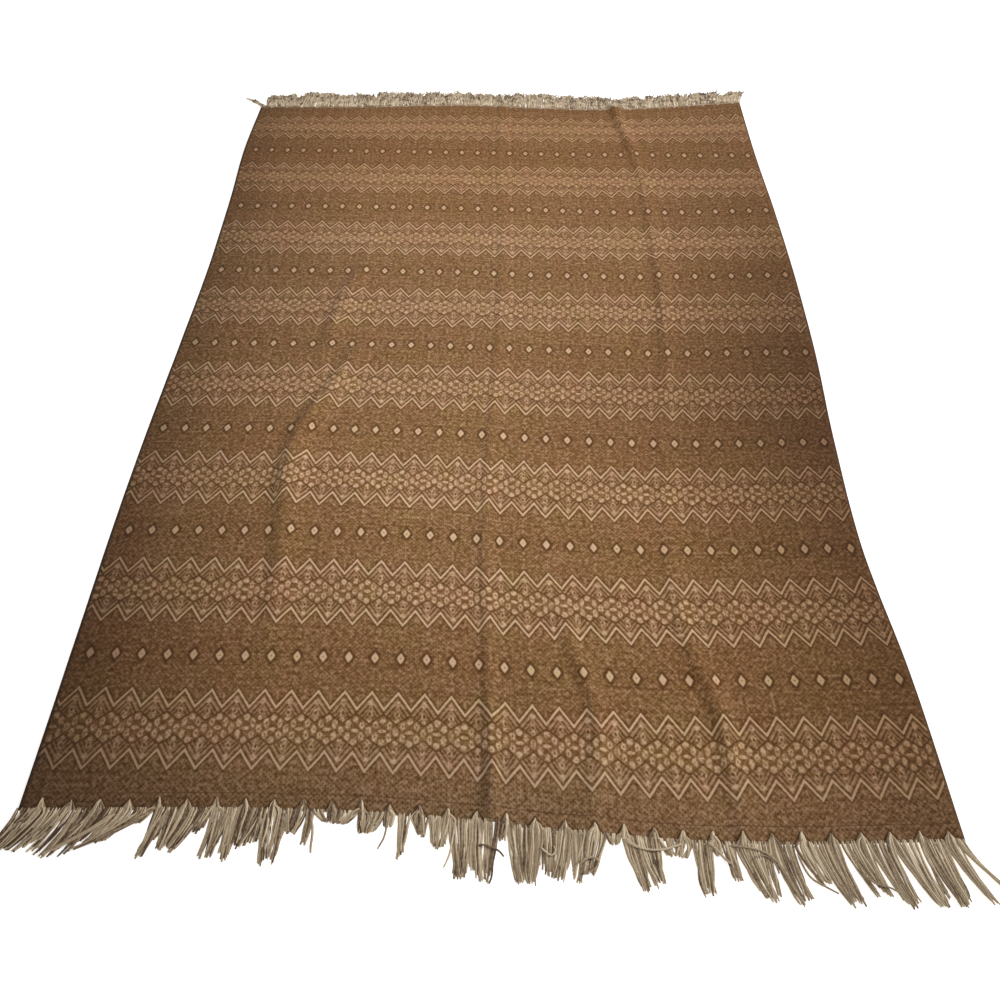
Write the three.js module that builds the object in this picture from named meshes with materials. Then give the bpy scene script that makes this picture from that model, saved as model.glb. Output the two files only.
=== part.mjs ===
// Wool throw blanket, spread flat with its storage creases and a fringe along each end.
// Millimetres, +Z up, +X across the cloth, +Y along it, origin on the floor under the middle of
// the whole blanket, fringes included.
import * as THREE from 'three';

// Driving dimensions of the cloth. The figured band repeats along the length.
const WIDTH = 1500;
const BAND_REPEAT = 286;
const BANDS = 8;
const LENGTH = BAND_REPEAT * BANDS;
const CLOTH_THICKNESS = 3;
const CREASE_SHARPNESS = 1.3;
const CLOTH_CENTRE = { x: -3.6, y: 8.4 };

// The fringe: its heading strip, and the locks that grow out of it.
const HEM_GAP = 0.3;
const HEADING_DEPTH = 7;
const LOCK_PITCH = 10.2;
const LOCK_CLEARANCE = 0.6;
const LOCK_STEP = 38;
const TIP_ALLOWANCE = 10;
const FULLY_RAGGED_REACH = 60;
const SPREADING_PASSES = 60;
const LOCK_ROOT = { width: 7.6, height: CLOTH_THICKNESS };
const LOCK_TIP = { width: 4.6, height: 2.4 };

// Constants of the even-looking scatter that makes the locks ragged.
const SCATTER_STRIDE = 12.9898;
const SCATTER_SPREAD = 43758.5453;

const CLOTH_BROWN = new THREE.Color(0.33, 0.21, 0.12);
const FRINGE_CREAM = new THREE.Color(0.56, 0.49, 0.38);
const CLOTH_ROUGHNESS = 0.95;
const FRINGE_ROUGHNESS = 0.9;

// Places across the cloth where the weft's drift is given, as shares of half the width.
const WEFT_PLACES = [
  { column: 'left', share: -1 },
  { column: 'leftQuarter', share: -0.5 },
  { column: 'beforeCentre', share: -0.17 },
  { column: 'pastCentre', share: 0.17 },
  { column: 'rightQuarter', share: 0.5 },
  { column: 'right', share: 1 },
];

// One row for each band boundary, from the near hem to the far one: how far each selvedge lies
// to the side of a straight line.
const SELVEDGE_ROWS = [
  { leftEdge: -1, rightEdge: 0 },
  { leftEdge: -3, rightEdge: -9 },
  { leftEdge: -6, rightEdge: -31 },
  { leftEdge: -4, rightEdge: -26 },
  { leftEdge: 3, rightEdge: -11 },
  { leftEdge: 8, rightEdge: -6 },
  { leftEdge: 5, rightEdge: -9 },
  { leftEdge: -4, rightEdge: -17 },
  { leftEdge: 3, rightEdge: -19 },
];

// The same boundaries: how far the weft lies ahead of a straight line at each place across.
const WEFT_ROWS = [
  { left: 13, leftQuarter: 20, beforeCentre: 14, pastCentre: -8, rightQuarter: -23, right: -13 },
  { left: 19, leftQuarter: 18, beforeCentre: 15, pastCentre: -8, rightQuarter: -20, right: -9 },
  { left: 14, leftQuarter: 18, beforeCentre: 12, pastCentre: -9, rightQuarter: -19, right: -5 },
  { left: 10, leftQuarter: 14, beforeCentre: 9, pastCentre: -8, rightQuarter: -18, right: -4 },
  { left: 6, leftQuarter: 5, beforeCentre: 4, pastCentre: -6, rightQuarter: -13, right: 0 },
  { left: 0, leftQuarter: 2, beforeCentre: 1, pastCentre: -7, rightQuarter: -8, right: 9 },
  { left: 0, leftQuarter: 1, beforeCentre: 0, pastCentre: -6, rightQuarter: -11, right: 9 },
  { left: 0, leftQuarter: 0, beforeCentre: -2, pastCentre: -5, rightQuarter: -4, right: 0 },
  { left: -34, leftQuarter: -23, beforeCentre: -8, pastCentre: -21, rightQuarter: -22, right: 32 },
];

// Creases that run along the length. Each row of a path gives the crest's place along (v) and
// across (u) the cloth and its height; left and right are the widths of its two slopes.
const LONG_FOLDS = [
  {
    name: 'centre storage crease',
    left: 16,
    right: 34,
    path: [
      { v: -LENGTH / 2, u: 4, height: 9 },
      { v: -1040, u: 4, height: 7 },
      { v: -900, u: -4, height: 5 },
      { v: -400, u: -2, height: 3.5 },
      { v: 300, u: 0, height: 3 },
      { v: LENGTH / 2, u: -2, height: 3 },
    ],
  },
  {
    name: 'left quarter crease',
    left: 30,
    right: 62,
    path: [
      { v: -860, u: -404, height: 0 },
      { v: -719, u: -402, height: 7 },
      { v: -555, u: -410, height: 10 },
      { v: -431, u: -424, height: 15 },
      { v: -297, u: -416, height: 13 },
      { v: -182, u: -380, height: 11 },
      { v: -55, u: -340, height: 7 },
      { v: 30, u: -318, height: 0 },
    ],
  },
  {
    name: 'left quarter crease, far part',
    left: 22,
    right: 46,
    path: [
      { v: -60, u: -404, height: 0 },
      { v: 30, u: -400, height: 6 },
      { v: 147, u: -394, height: 8 },
      { v: 271, u: -362, height: 6 },
      { v: 400, u: -344, height: 0 },
    ],
  },
  {
    name: 'right quarter crease',
    left: 24,
    right: 40,
    path: [
      { v: -LENGTH / 2, u: 404, height: 4 },
      { v: -930, u: 396, height: 6 },
      { v: -760, u: 362, height: 5 },
      { v: -300, u: 372, height: 2.5 },
      { v: 69, u: 398, height: 5 },
      { v: 287, u: 402, height: 7 },
      { v: 480, u: 402, height: 5 },
      { v: 776, u: 398, height: 5 },
      { v: 960, u: 374, height: 8 },
      { v: LENGTH / 2, u: 350, height: 13 },
    ],
  },
  {
    name: 'near pucker by the centre',
    left: 20,
    right: 40,
    path: [
      { v: -LENGTH / 2, u: 160, height: 4 },
      { v: -1040, u: 176, height: 7 },
      { v: -930, u: 184, height: 9 },
      { v: -820, u: 156, height: 8 },
      { v: -700, u: 132, height: 0 },
    ],
  },
];

// Creases that run across the cloth: the same, with the slopes towards the near and far ends.
const CROSS_FOLDS = [
  {
    name: 'cross crease at half length',
    near: 26,
    far: 44,
    path: [
      { u: -700, v: -40, height: 0 },
      { u: -560, v: -42, height: 4 },
      { u: -380, v: -36, height: 5 },
      { u: -240, v: -30, height: 4 },
      { u: -120, v: -26, height: 0 },
    ],
  },
];

// Grid lines of the cloth's surface, closer together where creases run.
const GRID_ACROSS = [
  { from: -WIDTH / 2, to: -470, lines: 4 },
  { from: -470, to: -290, lines: 9 },
  { from: -290, to: -40, lines: 3 },
  { from: -40, to: 50, lines: 7 },
  { from: 50, to: 120, lines: 1 },
  { from: 120, to: 240, lines: 5 },
  { from: 240, to: 330, lines: 1 },
  { from: 330, to: 450, lines: 6 },
  { from: 450, to: WIDTH / 2, lines: 4 },
];
const GRID_ALONG = [
  { from: -LENGTH / 2, to: -90, lines: 19 },
  { from: -90, to: 20, lines: 5 },
  { from: 20, to: LENGTH / 2, lines: 16 },
];

// The near fringe, a row for each lock or group of locks from left to right: where the group
// ends along the hem, how far its tips reach out from it, and how far they lean sideways.
const NEAR_GROUPS = [
  { to: -731, reach: 82, lean: -46 },
  { to: -680, reach: 68, lean: -44 },
  { to: -620, reach: 72, lean: -38 },
  { to: -565, reach: 54, lean: -36 },
  { to: -535, reach: 22, lean: -12 },
  { to: -512, reach: 82, lean: -18 },
  { to: -457, reach: 66, lean: -20 },
  { to: -441, reach: 38, lean: -10 },
  { to: -411, reach: 80, lean: -14 },
  { to: -392, reach: 78, lean: -6 },
  { to: -362, reach: 60, lean: -12 },
  { to: -318, reach: 84, lean: -3 },
  { to: -291, reach: 38, lean: -8 },
  { to: -278, reach: 60, lean: -4 },
  { to: -208, reach: 18, lean: -3 },
  { to: -167, reach: 33, lean: -5 },
  { to: -142, reach: 22, lean: -2 },
  { to: -123, reach: 68, lean: -3 },
  { to: -94, reach: 32, lean: 3 },
  { to: -61, reach: 50, lean: -2 },
  { to: -25, reach: 94, lean: 3 },
  { to: 15, reach: 92, lean: -2 },
  { to: 31, reach: 28, lean: -1 },
  { to: 86, reach: 90, lean: 0 },
  { to: 135, reach: 75, lean: -7 },
  { to: 156, reach: 80, lean: -7 },
  { to: 186, reach: 62, lean: -16 },
  { to: 211, reach: 14, lean: 0 },
  { to: 238, reach: 84, lean: 18 },
  { to: 268, reach: 72, lean: 12 },
  { to: 322, reach: 24, lean: 0 },
  { to: 349, reach: 80, lean: 3 },
  { to: 365, reach: 22, lean: 4 },
  { to: 387, reach: 60, lean: 12 },
  { to: 438, reach: 84, lean: 22 },
  { to: 479, reach: 90, lean: 25 },
  { to: 511, reach: 64, lean: 27 },
  { to: 552, reach: 92, lean: 31 },
  { to: 596, reach: 78, lean: 30 },
  { to: 634, reach: 98, lean: 30 },
  { to: 682, reach: 95, lean: 34 },
  { to: 717, reach: 96, lean: 26 },
  { to: 736, reach: 92, lean: 42 },
  { to: WIDTH / 2, reach: 88, lean: 58 },
];

// The far fringe is shorter, brushier and more even.
const FAR_GROUPS = [
  { to: -736, reach: 40, lean: -48 },
  { to: -640, reach: 72, lean: -6 },
  { to: -520, reach: 84, lean: 6 },
  { to: -400, reach: 78, lean: -5 },
  { to: -250, reach: 86, lean: 4 },
  { to: -90, reach: 80, lean: -4 },
  { to: 30, reach: 76, lean: 5 },
  { to: 180, reach: 88, lean: -3 },
  { to: 320, reach: 76, lean: 6 },
  { to: 450, reach: 66, lean: -5 },
  { to: 560, reach: 72, lean: 7 },
  { to: 680, reach: 70, lean: 12 },
  { to: WIDTH / 2, reach: 64, lean: 30 },
];

// How a group's tips draw together, and how unevenly its locks end.
const NEAR_HABIT = { gather: 0.3, raggedness: 6, bend: 1.35 };
const FAR_HABIT = { gather: 0.12, raggedness: 10, bend: 1.2 };

// A smooth curve through a table's rows: at the given place, from one named column.
function curveThrough(rows, place, column, at) {
  const last = rows.length - 1;
  const rising = rows[last][place] > rows[0][place];
  const low = rising ? rows[0] : rows[last];
  const high = rising ? rows[last] : rows[0];
  if (at <= low[place]) {
    return low[column];
  }
  if (at >= high[place]) {
    return high[column];
  }
  const ordered = rising ? rows : [...rows].reverse();
  const after = ordered.findIndex((row) => row[place] > at);
  const start = ordered[after - 1];
  const end = ordered[after];
  const before = ordered[Math.max(after - 2, 0)];
  const beyond = ordered[Math.min(after + 1, last)];
  const span = end[place] - start[place];
  const startSlope = (end[column] - before[column]) / (end[place] - before[place]);
  const endSlope = (beyond[column] - start[column]) / (beyond[place] - start[place]);
  const t = (at - start[place]) / span;
  const t2 = t * t;
  const t3 = t2 * t;
  return (2 * t3 - 3 * t2 + 1) * start[column] + (t3 - 2 * t2 + t) * span * startSlope
    + (3 * t2 - 2 * t3) * end[column] + (t3 - t2) * span * endSlope;
}

// Gives every row of a table its place along the cloth, a band repeat apart.
function placedAlong(rows) {
  return rows.map((row, index) => ({ ...row, v: -LENGTH / 2 + index * BAND_REPEAT }));
}

const selvedges = placedAlong(SELVEDGE_ROWS);
const wefts = placedAlong(WEFT_ROWS);

// Sideways drift: each selvedge has its own sway, shared out across the cloth between them.
function driftAcross(u, v) {
  const share = u / WIDTH + 0.5;
  const leftEdge = curveThrough(selvedges, 'v', 'leftEdge', v);
  const rightEdge = curveThrough(selvedges, 'v', 'rightEdge', v);
  return leftEdge * (1 - share) + rightEdge * share;
}

// Lengthwise drift of the weft, smooth across the cloth and along it.
function driftAlong(u, v) {
  const places = WEFT_PLACES.map(({ column, share }) => ({
    share,
    drift: curveThrough(wefts, 'v', column, v),
  }));
  return curveThrough(places, 'share', 'drift', u / (WIDTH / 2));
}

// A crease's cross-section: full height at the crest, level with the floor past its slopes.
function slope(distance, width) {
  const share = Math.min(Math.abs(distance) / width, 1);
  return Math.pow(0.5 + 0.5 * Math.cos(Math.PI * share), CREASE_SHARPNESS);
}

// Height of the cloth's underside over the floor at a place on the cloth.
function liftAt(u, v) {
  let lift = 0;
  for (const fold of LONG_FOLDS) {
    const distance = u - curveThrough(fold.path, 'v', 'u', v);
    const width = distance < 0 ? fold.left : fold.right;
    lift += Math.max(curveThrough(fold.path, 'v', 'height', v), 0) * slope(distance, width);
  }
  for (const fold of CROSS_FOLDS) {
    const distance = v - curveThrough(fold.path, 'u', 'v', u);
    const width = distance < 0 ? fold.near : fold.far;
    lift += Math.max(curveThrough(fold.path, 'u', 'height', u), 0) * slope(distance, width);
  }
  return lift;
}

// Where a place on the cloth lies: its point on the underside.
function lay(u, v) {
  const x = CLOTH_CENTRE.x + u + driftAcross(u, v);
  const y = CLOTH_CENTRE.y + v + driftAlong(u, v);
  return new THREE.Vector3(x, y, liftAt(u, v));
}

// Positions of grid lines, from rows of even stretches.
function gridLines(stretches) {
  const lines = stretches.flatMap(({ from, to, lines: count }) =>
    Array.from({ length: count }, (_, index) => from + ((to - from) * index) / count));
  return [...lines, stretches[stretches.length - 1].to];
}

// Builds a geometry from points and triangles of point numbers.
function solidFrom(points, triangles) {
  const geometry = new THREE.BufferGeometry();
  geometry.setAttribute('position', new THREE.Float32BufferAttribute(points.flatMap((p) => p.toArray()), 3));
  geometry.setIndex(triangles.flat());
  return geometry;
}

// Closes a grid of underside points into a sheet of even thickness.
function sheetSolid(grid, thickness) {
  const rows = grid.length;
  const columns = grid[0].length;
  const under = grid.flat();
  const over = under.map((p) => new THREE.Vector3(p.x, p.y, p.z + thickness));
  const count = under.length;
  const at = (row, column) => row * columns + column;
  const triangles = [];
  const quad = (a, b, c, d) => triangles.push([a, b, c], [a, c, d]);
  for (let row = 0; row < rows - 1; row += 1) {
    for (let column = 0; column < columns - 1; column += 1) {
      const corner = at(row, column);
      const right = at(row, column + 1);
      const across = at(row + 1, column + 1);
      const up = at(row + 1, column);
      quad(corner, up, across, right);
      quad(corner + count, right + count, across + count, up + count);
    }
  }
  for (let column = 0; column < columns - 1; column += 1) {
    const near = at(0, column);
    const nearNext = at(0, column + 1);
    const far = at(rows - 1, column);
    const farNext = at(rows - 1, column + 1);
    quad(near, nearNext, nearNext + count, near + count);
    quad(farNext, far, far + count, farNext + count);
  }
  for (let row = 0; row < rows - 1; row += 1) {
    const left = at(row, 0);
    const leftNext = at(row + 1, 0);
    const right = at(row, columns - 1);
    const rightNext = at(row + 1, columns - 1);
    quad(leftNext, left, left + count, leftNext + count);
    quad(right, rightNext, rightNext + count, right + count);
  }
  return solidFrom([...under, ...over], triangles);
}

// The woven cloth: one sheet, its hems and selvedges included.
function clothGeometry() {
  const across = gridLines(GRID_ACROSS);
  const along = gridLines(GRID_ALONG);
  const grid = along.map((v) => across.map((u) => lay(u, v)));
  return sheetSolid(grid, CLOTH_THICKNESS);
}

// A number from -1 to 1 that looks random but is the same for the same place in the row.
function scatter(index) {
  const wave = Math.sin((index + 1) * SCATTER_STRIDE) * SCATTER_SPREAD;
  return 2 * (wave - Math.floor(wave)) - 1;
}

// Roots, reach and lean of every lock of a fringe, in order along its hem.
function planLocks(groups, habit) {
  const locks = [];
  let from = -WIDTH / 2;
  for (const { to, reach, lean } of groups) {
    const count = Math.max(Math.round((to - from) / LOCK_PITCH), 1);
    const pitch = (to - from) / count;
    const middle = (from + to) / 2;
    for (let number = 0; number < count; number += 1) {
      const root = from + (number + 0.5) * pitch;
      const draw = (middle - root) * habit.gather;
      const ragged = habit.raggedness * scatter(locks.length) * Math.min(reach / FULLY_RAGGED_REACH, 1);
      locks.push({ root, reach: reach - TIP_ALLOWANCE + ragged, lean: lean + draw });
    }
    from = to;
  }
  return locks;
}

// Width and height of a lock's section at a distance from the heading.
function lockSection(lock, distance) {
  const share = Math.min(Math.max(distance, 0) / lock.reach, 1);
  return {
    width: THREE.MathUtils.lerp(LOCK_ROOT.width, LOCK_TIP.width, share),
    height: THREE.MathUtils.lerp(LOCK_ROOT.height, LOCK_TIP.height, share),
  };
}

// Distances from the heading at which a lock has a section: common steps, then its tip.
function lockDistances(lock) {
  const distances = [];
  for (let distance = LOCK_STEP; distance < lock.reach; distance += LOCK_STEP) {
    distances.push(distance);
  }
  return [...distances, lock.reach];
}

// Sideways places of the locks at one distance, pushed apart until none touches the next.
function placesAt(locks, distance, habit) {
  const present = locks.filter((lock) => lock.reach + LOCK_STEP > distance);
  const places = present.map((lock) => ({
    lock,
    u: lock.root + lock.lean * Math.pow(Math.min(distance / lock.reach, 1), habit.bend),
    width: lockSection(lock, distance).width,
  }));
  for (let pass = 0; pass < SPREADING_PASSES; pass += 1) {
    for (let index = 1; index < places.length; index += 1) {
      const left = places[index - 1];
      const right = places[index];
      const short = (left.width + right.width) / 2 + LOCK_CLEARANCE - (right.u - left.u);
      if (short > 0) {
        left.u -= short / 2;
        right.u += short / 2;
      }
    }
  }
  return new Map(places.map(({ lock, u }) => [lock, u]));
}

// Gives the sideways place of any lock at any distance, straight between the common steps.
function lockPlaces(locks, habit) {
  const steps = new Map();
  const stepPlaces = (step) => {
    if (!steps.has(step)) {
      steps.set(step, placesAt(locks, step * LOCK_STEP, habit));
    }
    return steps.get(step);
  };
  return (lock, distance) => {
    const step = Math.ceil(distance / LOCK_STEP) - 1;
    const share = distance / LOCK_STEP - step;
    return THREE.MathUtils.lerp(stepPlaces(step).get(lock), stepPlaces(step + 1).get(lock), share);
  };
}

// Where a place on the hem lies, on the straight run between the cloth's own grid lines.
function hemPoint(u, side) {
  const lines = gridLines(GRID_ACROSS);
  const after = Math.max(lines.findIndex((line) => line >= u), 1);
  const share = (u - lines[after - 1]) / (lines[after] - lines[after - 1]);
  const v = (side * LENGTH) / 2;
  return lay(lines[after - 1], v).lerp(lay(lines[after], v), share);
}

// Three corners of a strand's section: its two feet on the floor and its ridge.
function strandSection(x, y, floor, width, height) {
  return {
    left: new THREE.Vector3(x - width / 2, y, floor),
    right: new THREE.Vector3(x + width / 2, y, floor),
    ridge: new THREE.Vector3(x, y, floor + height),
  };
}

// A lock's sections beyond its root, level on the floor from the first one on.
function lockSections(lock, side, placeOf) {
  const hem = hemPoint(lock.root, side);
  return lockDistances(lock).map((distance) => {
    const { width, height } = lockSection(lock, distance);
    const x = hem.x + placeOf(lock, distance) - lock.root;
    const y = hem.y + side * (HEM_GAP + HEADING_DEPTH + distance);
    return strandSection(x, y, 0, width, height);
  });
}

// A fringe in one piece: a heading strip outside the hem, each lock growing out of its face.
function fringeGeometry(side, groups, habit) {
  const locks = planLocks(groups, habit);
  const placeOf = lockPlaces(locks, habit);
  const points = [];
  const triangles = [];
  const add = (point) => points.push(point) - 1;
  const face = (...corners) => {
    const ring = side > 0 ? corners : [...corners].reverse();
    for (let corner = 2; corner < ring.length; corner += 1) {
      triangles.push([ring[0], ring[corner - 1], ring[corner]]);
    }
  };
  const shifted = (point, outwards, up) => point.clone().add(new THREE.Vector3(0, side * outwards, up));
  const outward = HEM_GAP + HEADING_DEPTH;

  const stations = [
    { u: -WIDTH / 2, half: 0 },
    ...locks.map((lock) => ({ u: lock.root, half: LOCK_ROOT.width / 2, lock })),
    { u: WIDTH / 2, half: 0 },
  ].map(({ u, half, lock }) => {
    const hem = hemPoint(u, side);
    const foot = shifted(hem, outward, 0);
    const footLeft = add(foot.clone().add(new THREE.Vector3(-half, 0, 0)));
    return {
      lock,
      innerUnder: add(shifted(hem, HEM_GAP, 0)),
      innerOver: add(shifted(hem, HEM_GAP, CLOTH_THICKNESS)),
      footLeft,
      footRight: half > 0 ? add(foot.clone().add(new THREE.Vector3(half, 0, 0))) : footLeft,
      ridge: add(shifted(hem, outward, CLOTH_THICKNESS)),
    };
  });

  const first = stations[0];
  const last = stations[stations.length - 1];
  face(first.innerUnder, first.innerOver, first.ridge, first.footLeft);
  face(last.innerUnder, last.footLeft, last.ridge, last.innerOver);
  for (let index = 1; index < stations.length; index += 1) {
    const a = stations[index - 1];
    const b = stations[index];
    face(a.innerOver, b.innerOver, b.ridge, a.ridge);
    face(a.innerUnder, a.footRight, b.footLeft, b.innerUnder);
    face(a.innerUnder, b.innerUnder, b.innerOver, a.innerOver);
    face(a.footRight, a.ridge, b.ridge, b.footLeft);
  }

  for (const { lock, innerUnder, footLeft, footRight, ridge } of stations.slice(1, -1)) {
    face(innerUnder, footLeft, footRight);
    let root = { left: footLeft, right: footRight, ridge };
    for (const section of lockSections(lock, side, placeOf)) {
      const next = { left: add(section.left), right: add(section.right), ridge: add(section.ridge) };
      face(root.left, next.left, next.right, root.right);
      face(root.right, next.right, next.ridge, root.ridge);
      face(root.ridge, next.ridge, next.left, root.left);
      root = next;
    }
    face(root.left, root.ridge, root.right);
  }
  return solidFrom(points, triangles);
}

// A named piece in its own material.
function piece(name, geometry, color, roughness) {
  const material = new THREE.MeshStandardMaterial({ color, roughness, metalness: 0 });
  const mesh = new THREE.Mesh(geometry, material);
  mesh.name = name;
  return mesh;
}

const blanket = new THREE.Group();
const nearFringe = fringeGeometry(-1, NEAR_GROUPS, NEAR_HABIT);
const farFringe = fringeGeometry(1, FAR_GROUPS, FAR_HABIT);
blanket.add(piece('blanket_cloth', clothGeometry(), CLOTH_BROWN, CLOTH_ROUGHNESS));
blanket.add(piece('fringe_front', nearFringe, FRINGE_CREAM, FRINGE_ROUGHNESS));
blanket.add(piece('fringe_back', farFringe, FRINGE_CREAM, FRINGE_ROUGHNESS));

export default blanket;
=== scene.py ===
import math

import bpy
import numpy as np
from bpy.props import FloatProperty, FloatVectorProperty, IntProperty, PointerProperty
from mathutils import Matrix, Vector


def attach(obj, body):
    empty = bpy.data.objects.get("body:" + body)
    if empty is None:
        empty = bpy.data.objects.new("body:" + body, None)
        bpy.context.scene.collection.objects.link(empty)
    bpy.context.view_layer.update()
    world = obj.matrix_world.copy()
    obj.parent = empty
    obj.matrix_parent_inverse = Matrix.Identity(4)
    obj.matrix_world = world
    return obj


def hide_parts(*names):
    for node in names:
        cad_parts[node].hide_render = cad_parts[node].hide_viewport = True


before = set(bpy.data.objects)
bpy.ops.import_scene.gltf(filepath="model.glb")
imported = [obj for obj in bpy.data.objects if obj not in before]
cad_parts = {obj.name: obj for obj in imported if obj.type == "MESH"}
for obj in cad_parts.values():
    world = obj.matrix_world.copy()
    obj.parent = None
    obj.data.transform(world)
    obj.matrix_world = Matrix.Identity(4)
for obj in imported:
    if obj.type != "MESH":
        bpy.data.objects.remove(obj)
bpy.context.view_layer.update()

bl_info = {
    "name": "Wool throw blanket",
    "version": (1, 0, 0),
    "blender": (4, 5, 0),
    "location": "3D View > Sidebar > Blanket",
    "description": "Woven wool cloth spread flat, with a loose warp fringe along each end",
    "category": "Object",
}

# Sizes of the blanket in millimetres, as in its solids. Everything is laid in metres.
MM = 0.001
WIDTH = 1500
BAND_REPEAT = 286
BANDS = 8
LENGTH = BAND_REPEAT * BANDS
CREASE_SHARPNESS = 1.3
CLOTH_CENTRE = {"x": -3.6, "y": 8.4}

# How the locks follow each other along a hem, a little closer than in the solids.
LOCK_PITCH = 10
FULLY_RAGGED_REACH = 60
FILLED_REACH = 40
SCATTER_STRIDE = 12.9898
SCATTER_SPREAD = 43758.5453

# The cloth's low unevenness: waves of random length and direction, the shorter the lower.
RIPPLE_SEED = 7
RIPPLE_WAVES = 26
SHORTEST_RIPPLE = 70
LONGEST_RIPPLE = 420
RIPPLE_FALLOFF = 0.8

# The cloth's rim is rounded by this much from above and from below, inside a hair's breadth.
RIM_BREADTH = 0.1
RIM_DROP = 0.9
RIM_LIFT = 0.5

# How a lock lies: how deep its root sits, where it has settled on the floor, and its heights.
ROOT_DEPTH = 4
SETTLED_AT = 22
LOCK_HEIGHT = 1.5
HEM_RISE = 0.3
CLOTH_RISE = 1.4
CLOTH_GAP = 3
CLOTH_CLIMB = 5
LOOSE_FROM = 4
STRAY_HEIGHT = 2
GATHERED_AT_TOOTH = 0.9
PLAIN_OPENING = 0.3
FILLER_SHARE = 0.8
FILLER_SCATTER = 0.1

# How a yarn varies: thinner at both ends, its chance thickness, and its place in the noise.
TIP_THICKNESS = 0.7
TIP_SHARPNESS = 6.0
ROOT_THICKNESS = 0.25
ROOT_SWELL = 9.0
THINNEST = 0.75
THICKEST = 1.15
LOWEST_IN_RADII = 1.15
STACK_SINKS = -0.75
BOB_SHARE = 0.35
NOISE_STEP = 3.71
SIDEWAYS_PLACE = 1.7
UPWARD_PLACE = 9.3

# The weave: one repeat of the figured band across the cloth, and its threads.
PATTERN_REPEAT = 46.5
FIRST_DIAMOND = 35
ENDS_IN_REPEAT = 32
PICKS_IN_BAND = 198
ZIGZAG_PEAK = 73
ZIGZAG_VALLEY = 40
TOOTH_HEIGHT = 17
TOOTH_HALF_WIDTH = 11.5
LATTICE_FOOT = 13.2
LATTICE_RISE = 0.8
BAND_STARTS_IN = 2
LATTICE_STARTS_OUT = 1.4
SOFT_EDGE = 0.9
TURN = 2 * math.pi

# The figure's lines: half thickness, softness of their edges, and how light they are. A diamond
# is measured in shares of its own size, and the row line lies off the middle of the diamonds.
LATTICE_LINE = {"half": 1.2, "soft": SOFT_EDGE, "tone": 0.08}
ZIGZAG_RIM = {"half": 4.6, "soft": 2.8, "tone": 0.06}
ZIGZAG_LINE = {"half": 2.1, "soft": 1.2, "tone": 0.95}
ROW_LINE = {"half": 0.9, "soft": SOFT_EDGE, "tone": 0.1, "off": 19.5}
DIAMOND = {"half": 1.0, "soft": 0.3, "tone": 1.0, "wide": 6.9, "high": 11.2, "bulge": 1.15}
DIAMOND_RIM = {"half": 1.85, "soft": 0.8, "tone": 0.02}
DIAMOND_EYE = {"half": 1, "soft": 0.4, "tone": 0.55, "wide": 1.7, "high": 2.0}
SELVEDGE_LINE = {"half": 4.5, "soft": 2.0, "tone": 0.12}

# The threads: how far their wavering, wear and streaks reach, and how many make a small figure.
WAVER_SIZE = 45
SWAY_SIZE = 60
WORN_SIZE = 7
STREAK_LENGTH = 260
STREAK_BREADTH = 5
BIRDSEYE_THREADS = 6
CLUMP_THREADS = 5
WARP_YARN_PITCH = 3.6
HEM_LINE_PLACE = 28

# The tones at which the dark, ground, tan and light yarns stand.
YARN_TONES = (0.0, 0.34, 0.62, 1.0)

# The figure's grounds: how light each is, and what its speckle and its felting add.
FIELD = {"tone": 0.19, "speckle": 0.34}
BAND_FIELD = {"tone": 0.2, "speckle": 0.2, "felted": 0.55}
BORDER_FIELD = {"tone": 0.3, "speckle": 0.26, "felted": 0.3}

# Where a cell, an eye and a dot end, in shares of their size, and how soft that edge is.
CELL_EDGE = (0.94, 0.5)
CELL_SHADE = 0.12
CELL_SPECKLE = 0.42
EYE_EDGE = (1, 0.4)
DOT_EDGE = (1, 0.5)

# What the speckle is mixed from, and how much each unevenness moves the tone and lifts the nap.
SPECKLE = {"eyes": 0.35, "heather": 0.15, "clump": 0.4, "worn": 2.0, "level": 0.95}
UNEVEN_TONE = {"streaks": 0.3, "heather": 0.1, "clump": 0.08, "worn": 0.5}
NAP = {"ribs": 0.2, "worn": 0.75}

# What the fringe yarn's tone is mixed from; the grooves' share is painted shade in the ply grooves.
YARN_MIX = {"tint": 0.8, "fuzz": 0.25, "blotch": 0.35, "grooves": 0.08, "level": 0.22}

# Patches where the wool has turned reddish or olive.
PATCHES = [
    {"size": 130, "soft": 0.12, "red_from": 0.04, "red": 0.25, "olive_below": 0.47, "olive": 0.35},
    {"size": 34, "soft": 0.14, "red_from": 0.05, "red": 0.2, "olive_below": 0.46, "olive": 0.35},
]

# Painted shade along the sides and the near edges, and paler dust by the near hem: how far in each reaches,
# and over what breadth it fades.
SIDE_SHADE = (190, 380)
DUST_REACH = (80, 140)
RIM_SHADE = (60, 120)

# Chevron lines inside the zigzag: how far in, half thickness, and how light they are.
CHEVRONS = [
    {"name": "light line", "inward": 8.6, "half": 1.6, "tone": 0.64},
    {"name": "dark line", "inward": 12.0, "half": 1.3, "tone": 0.12},
    {"name": "inner light line", "inward": 15.2, "half": 1.4, "tone": 0.54},
    {"name": "inner dark line", "inward": 18.6, "half": 1.3, "tone": 0.12},
]

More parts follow.
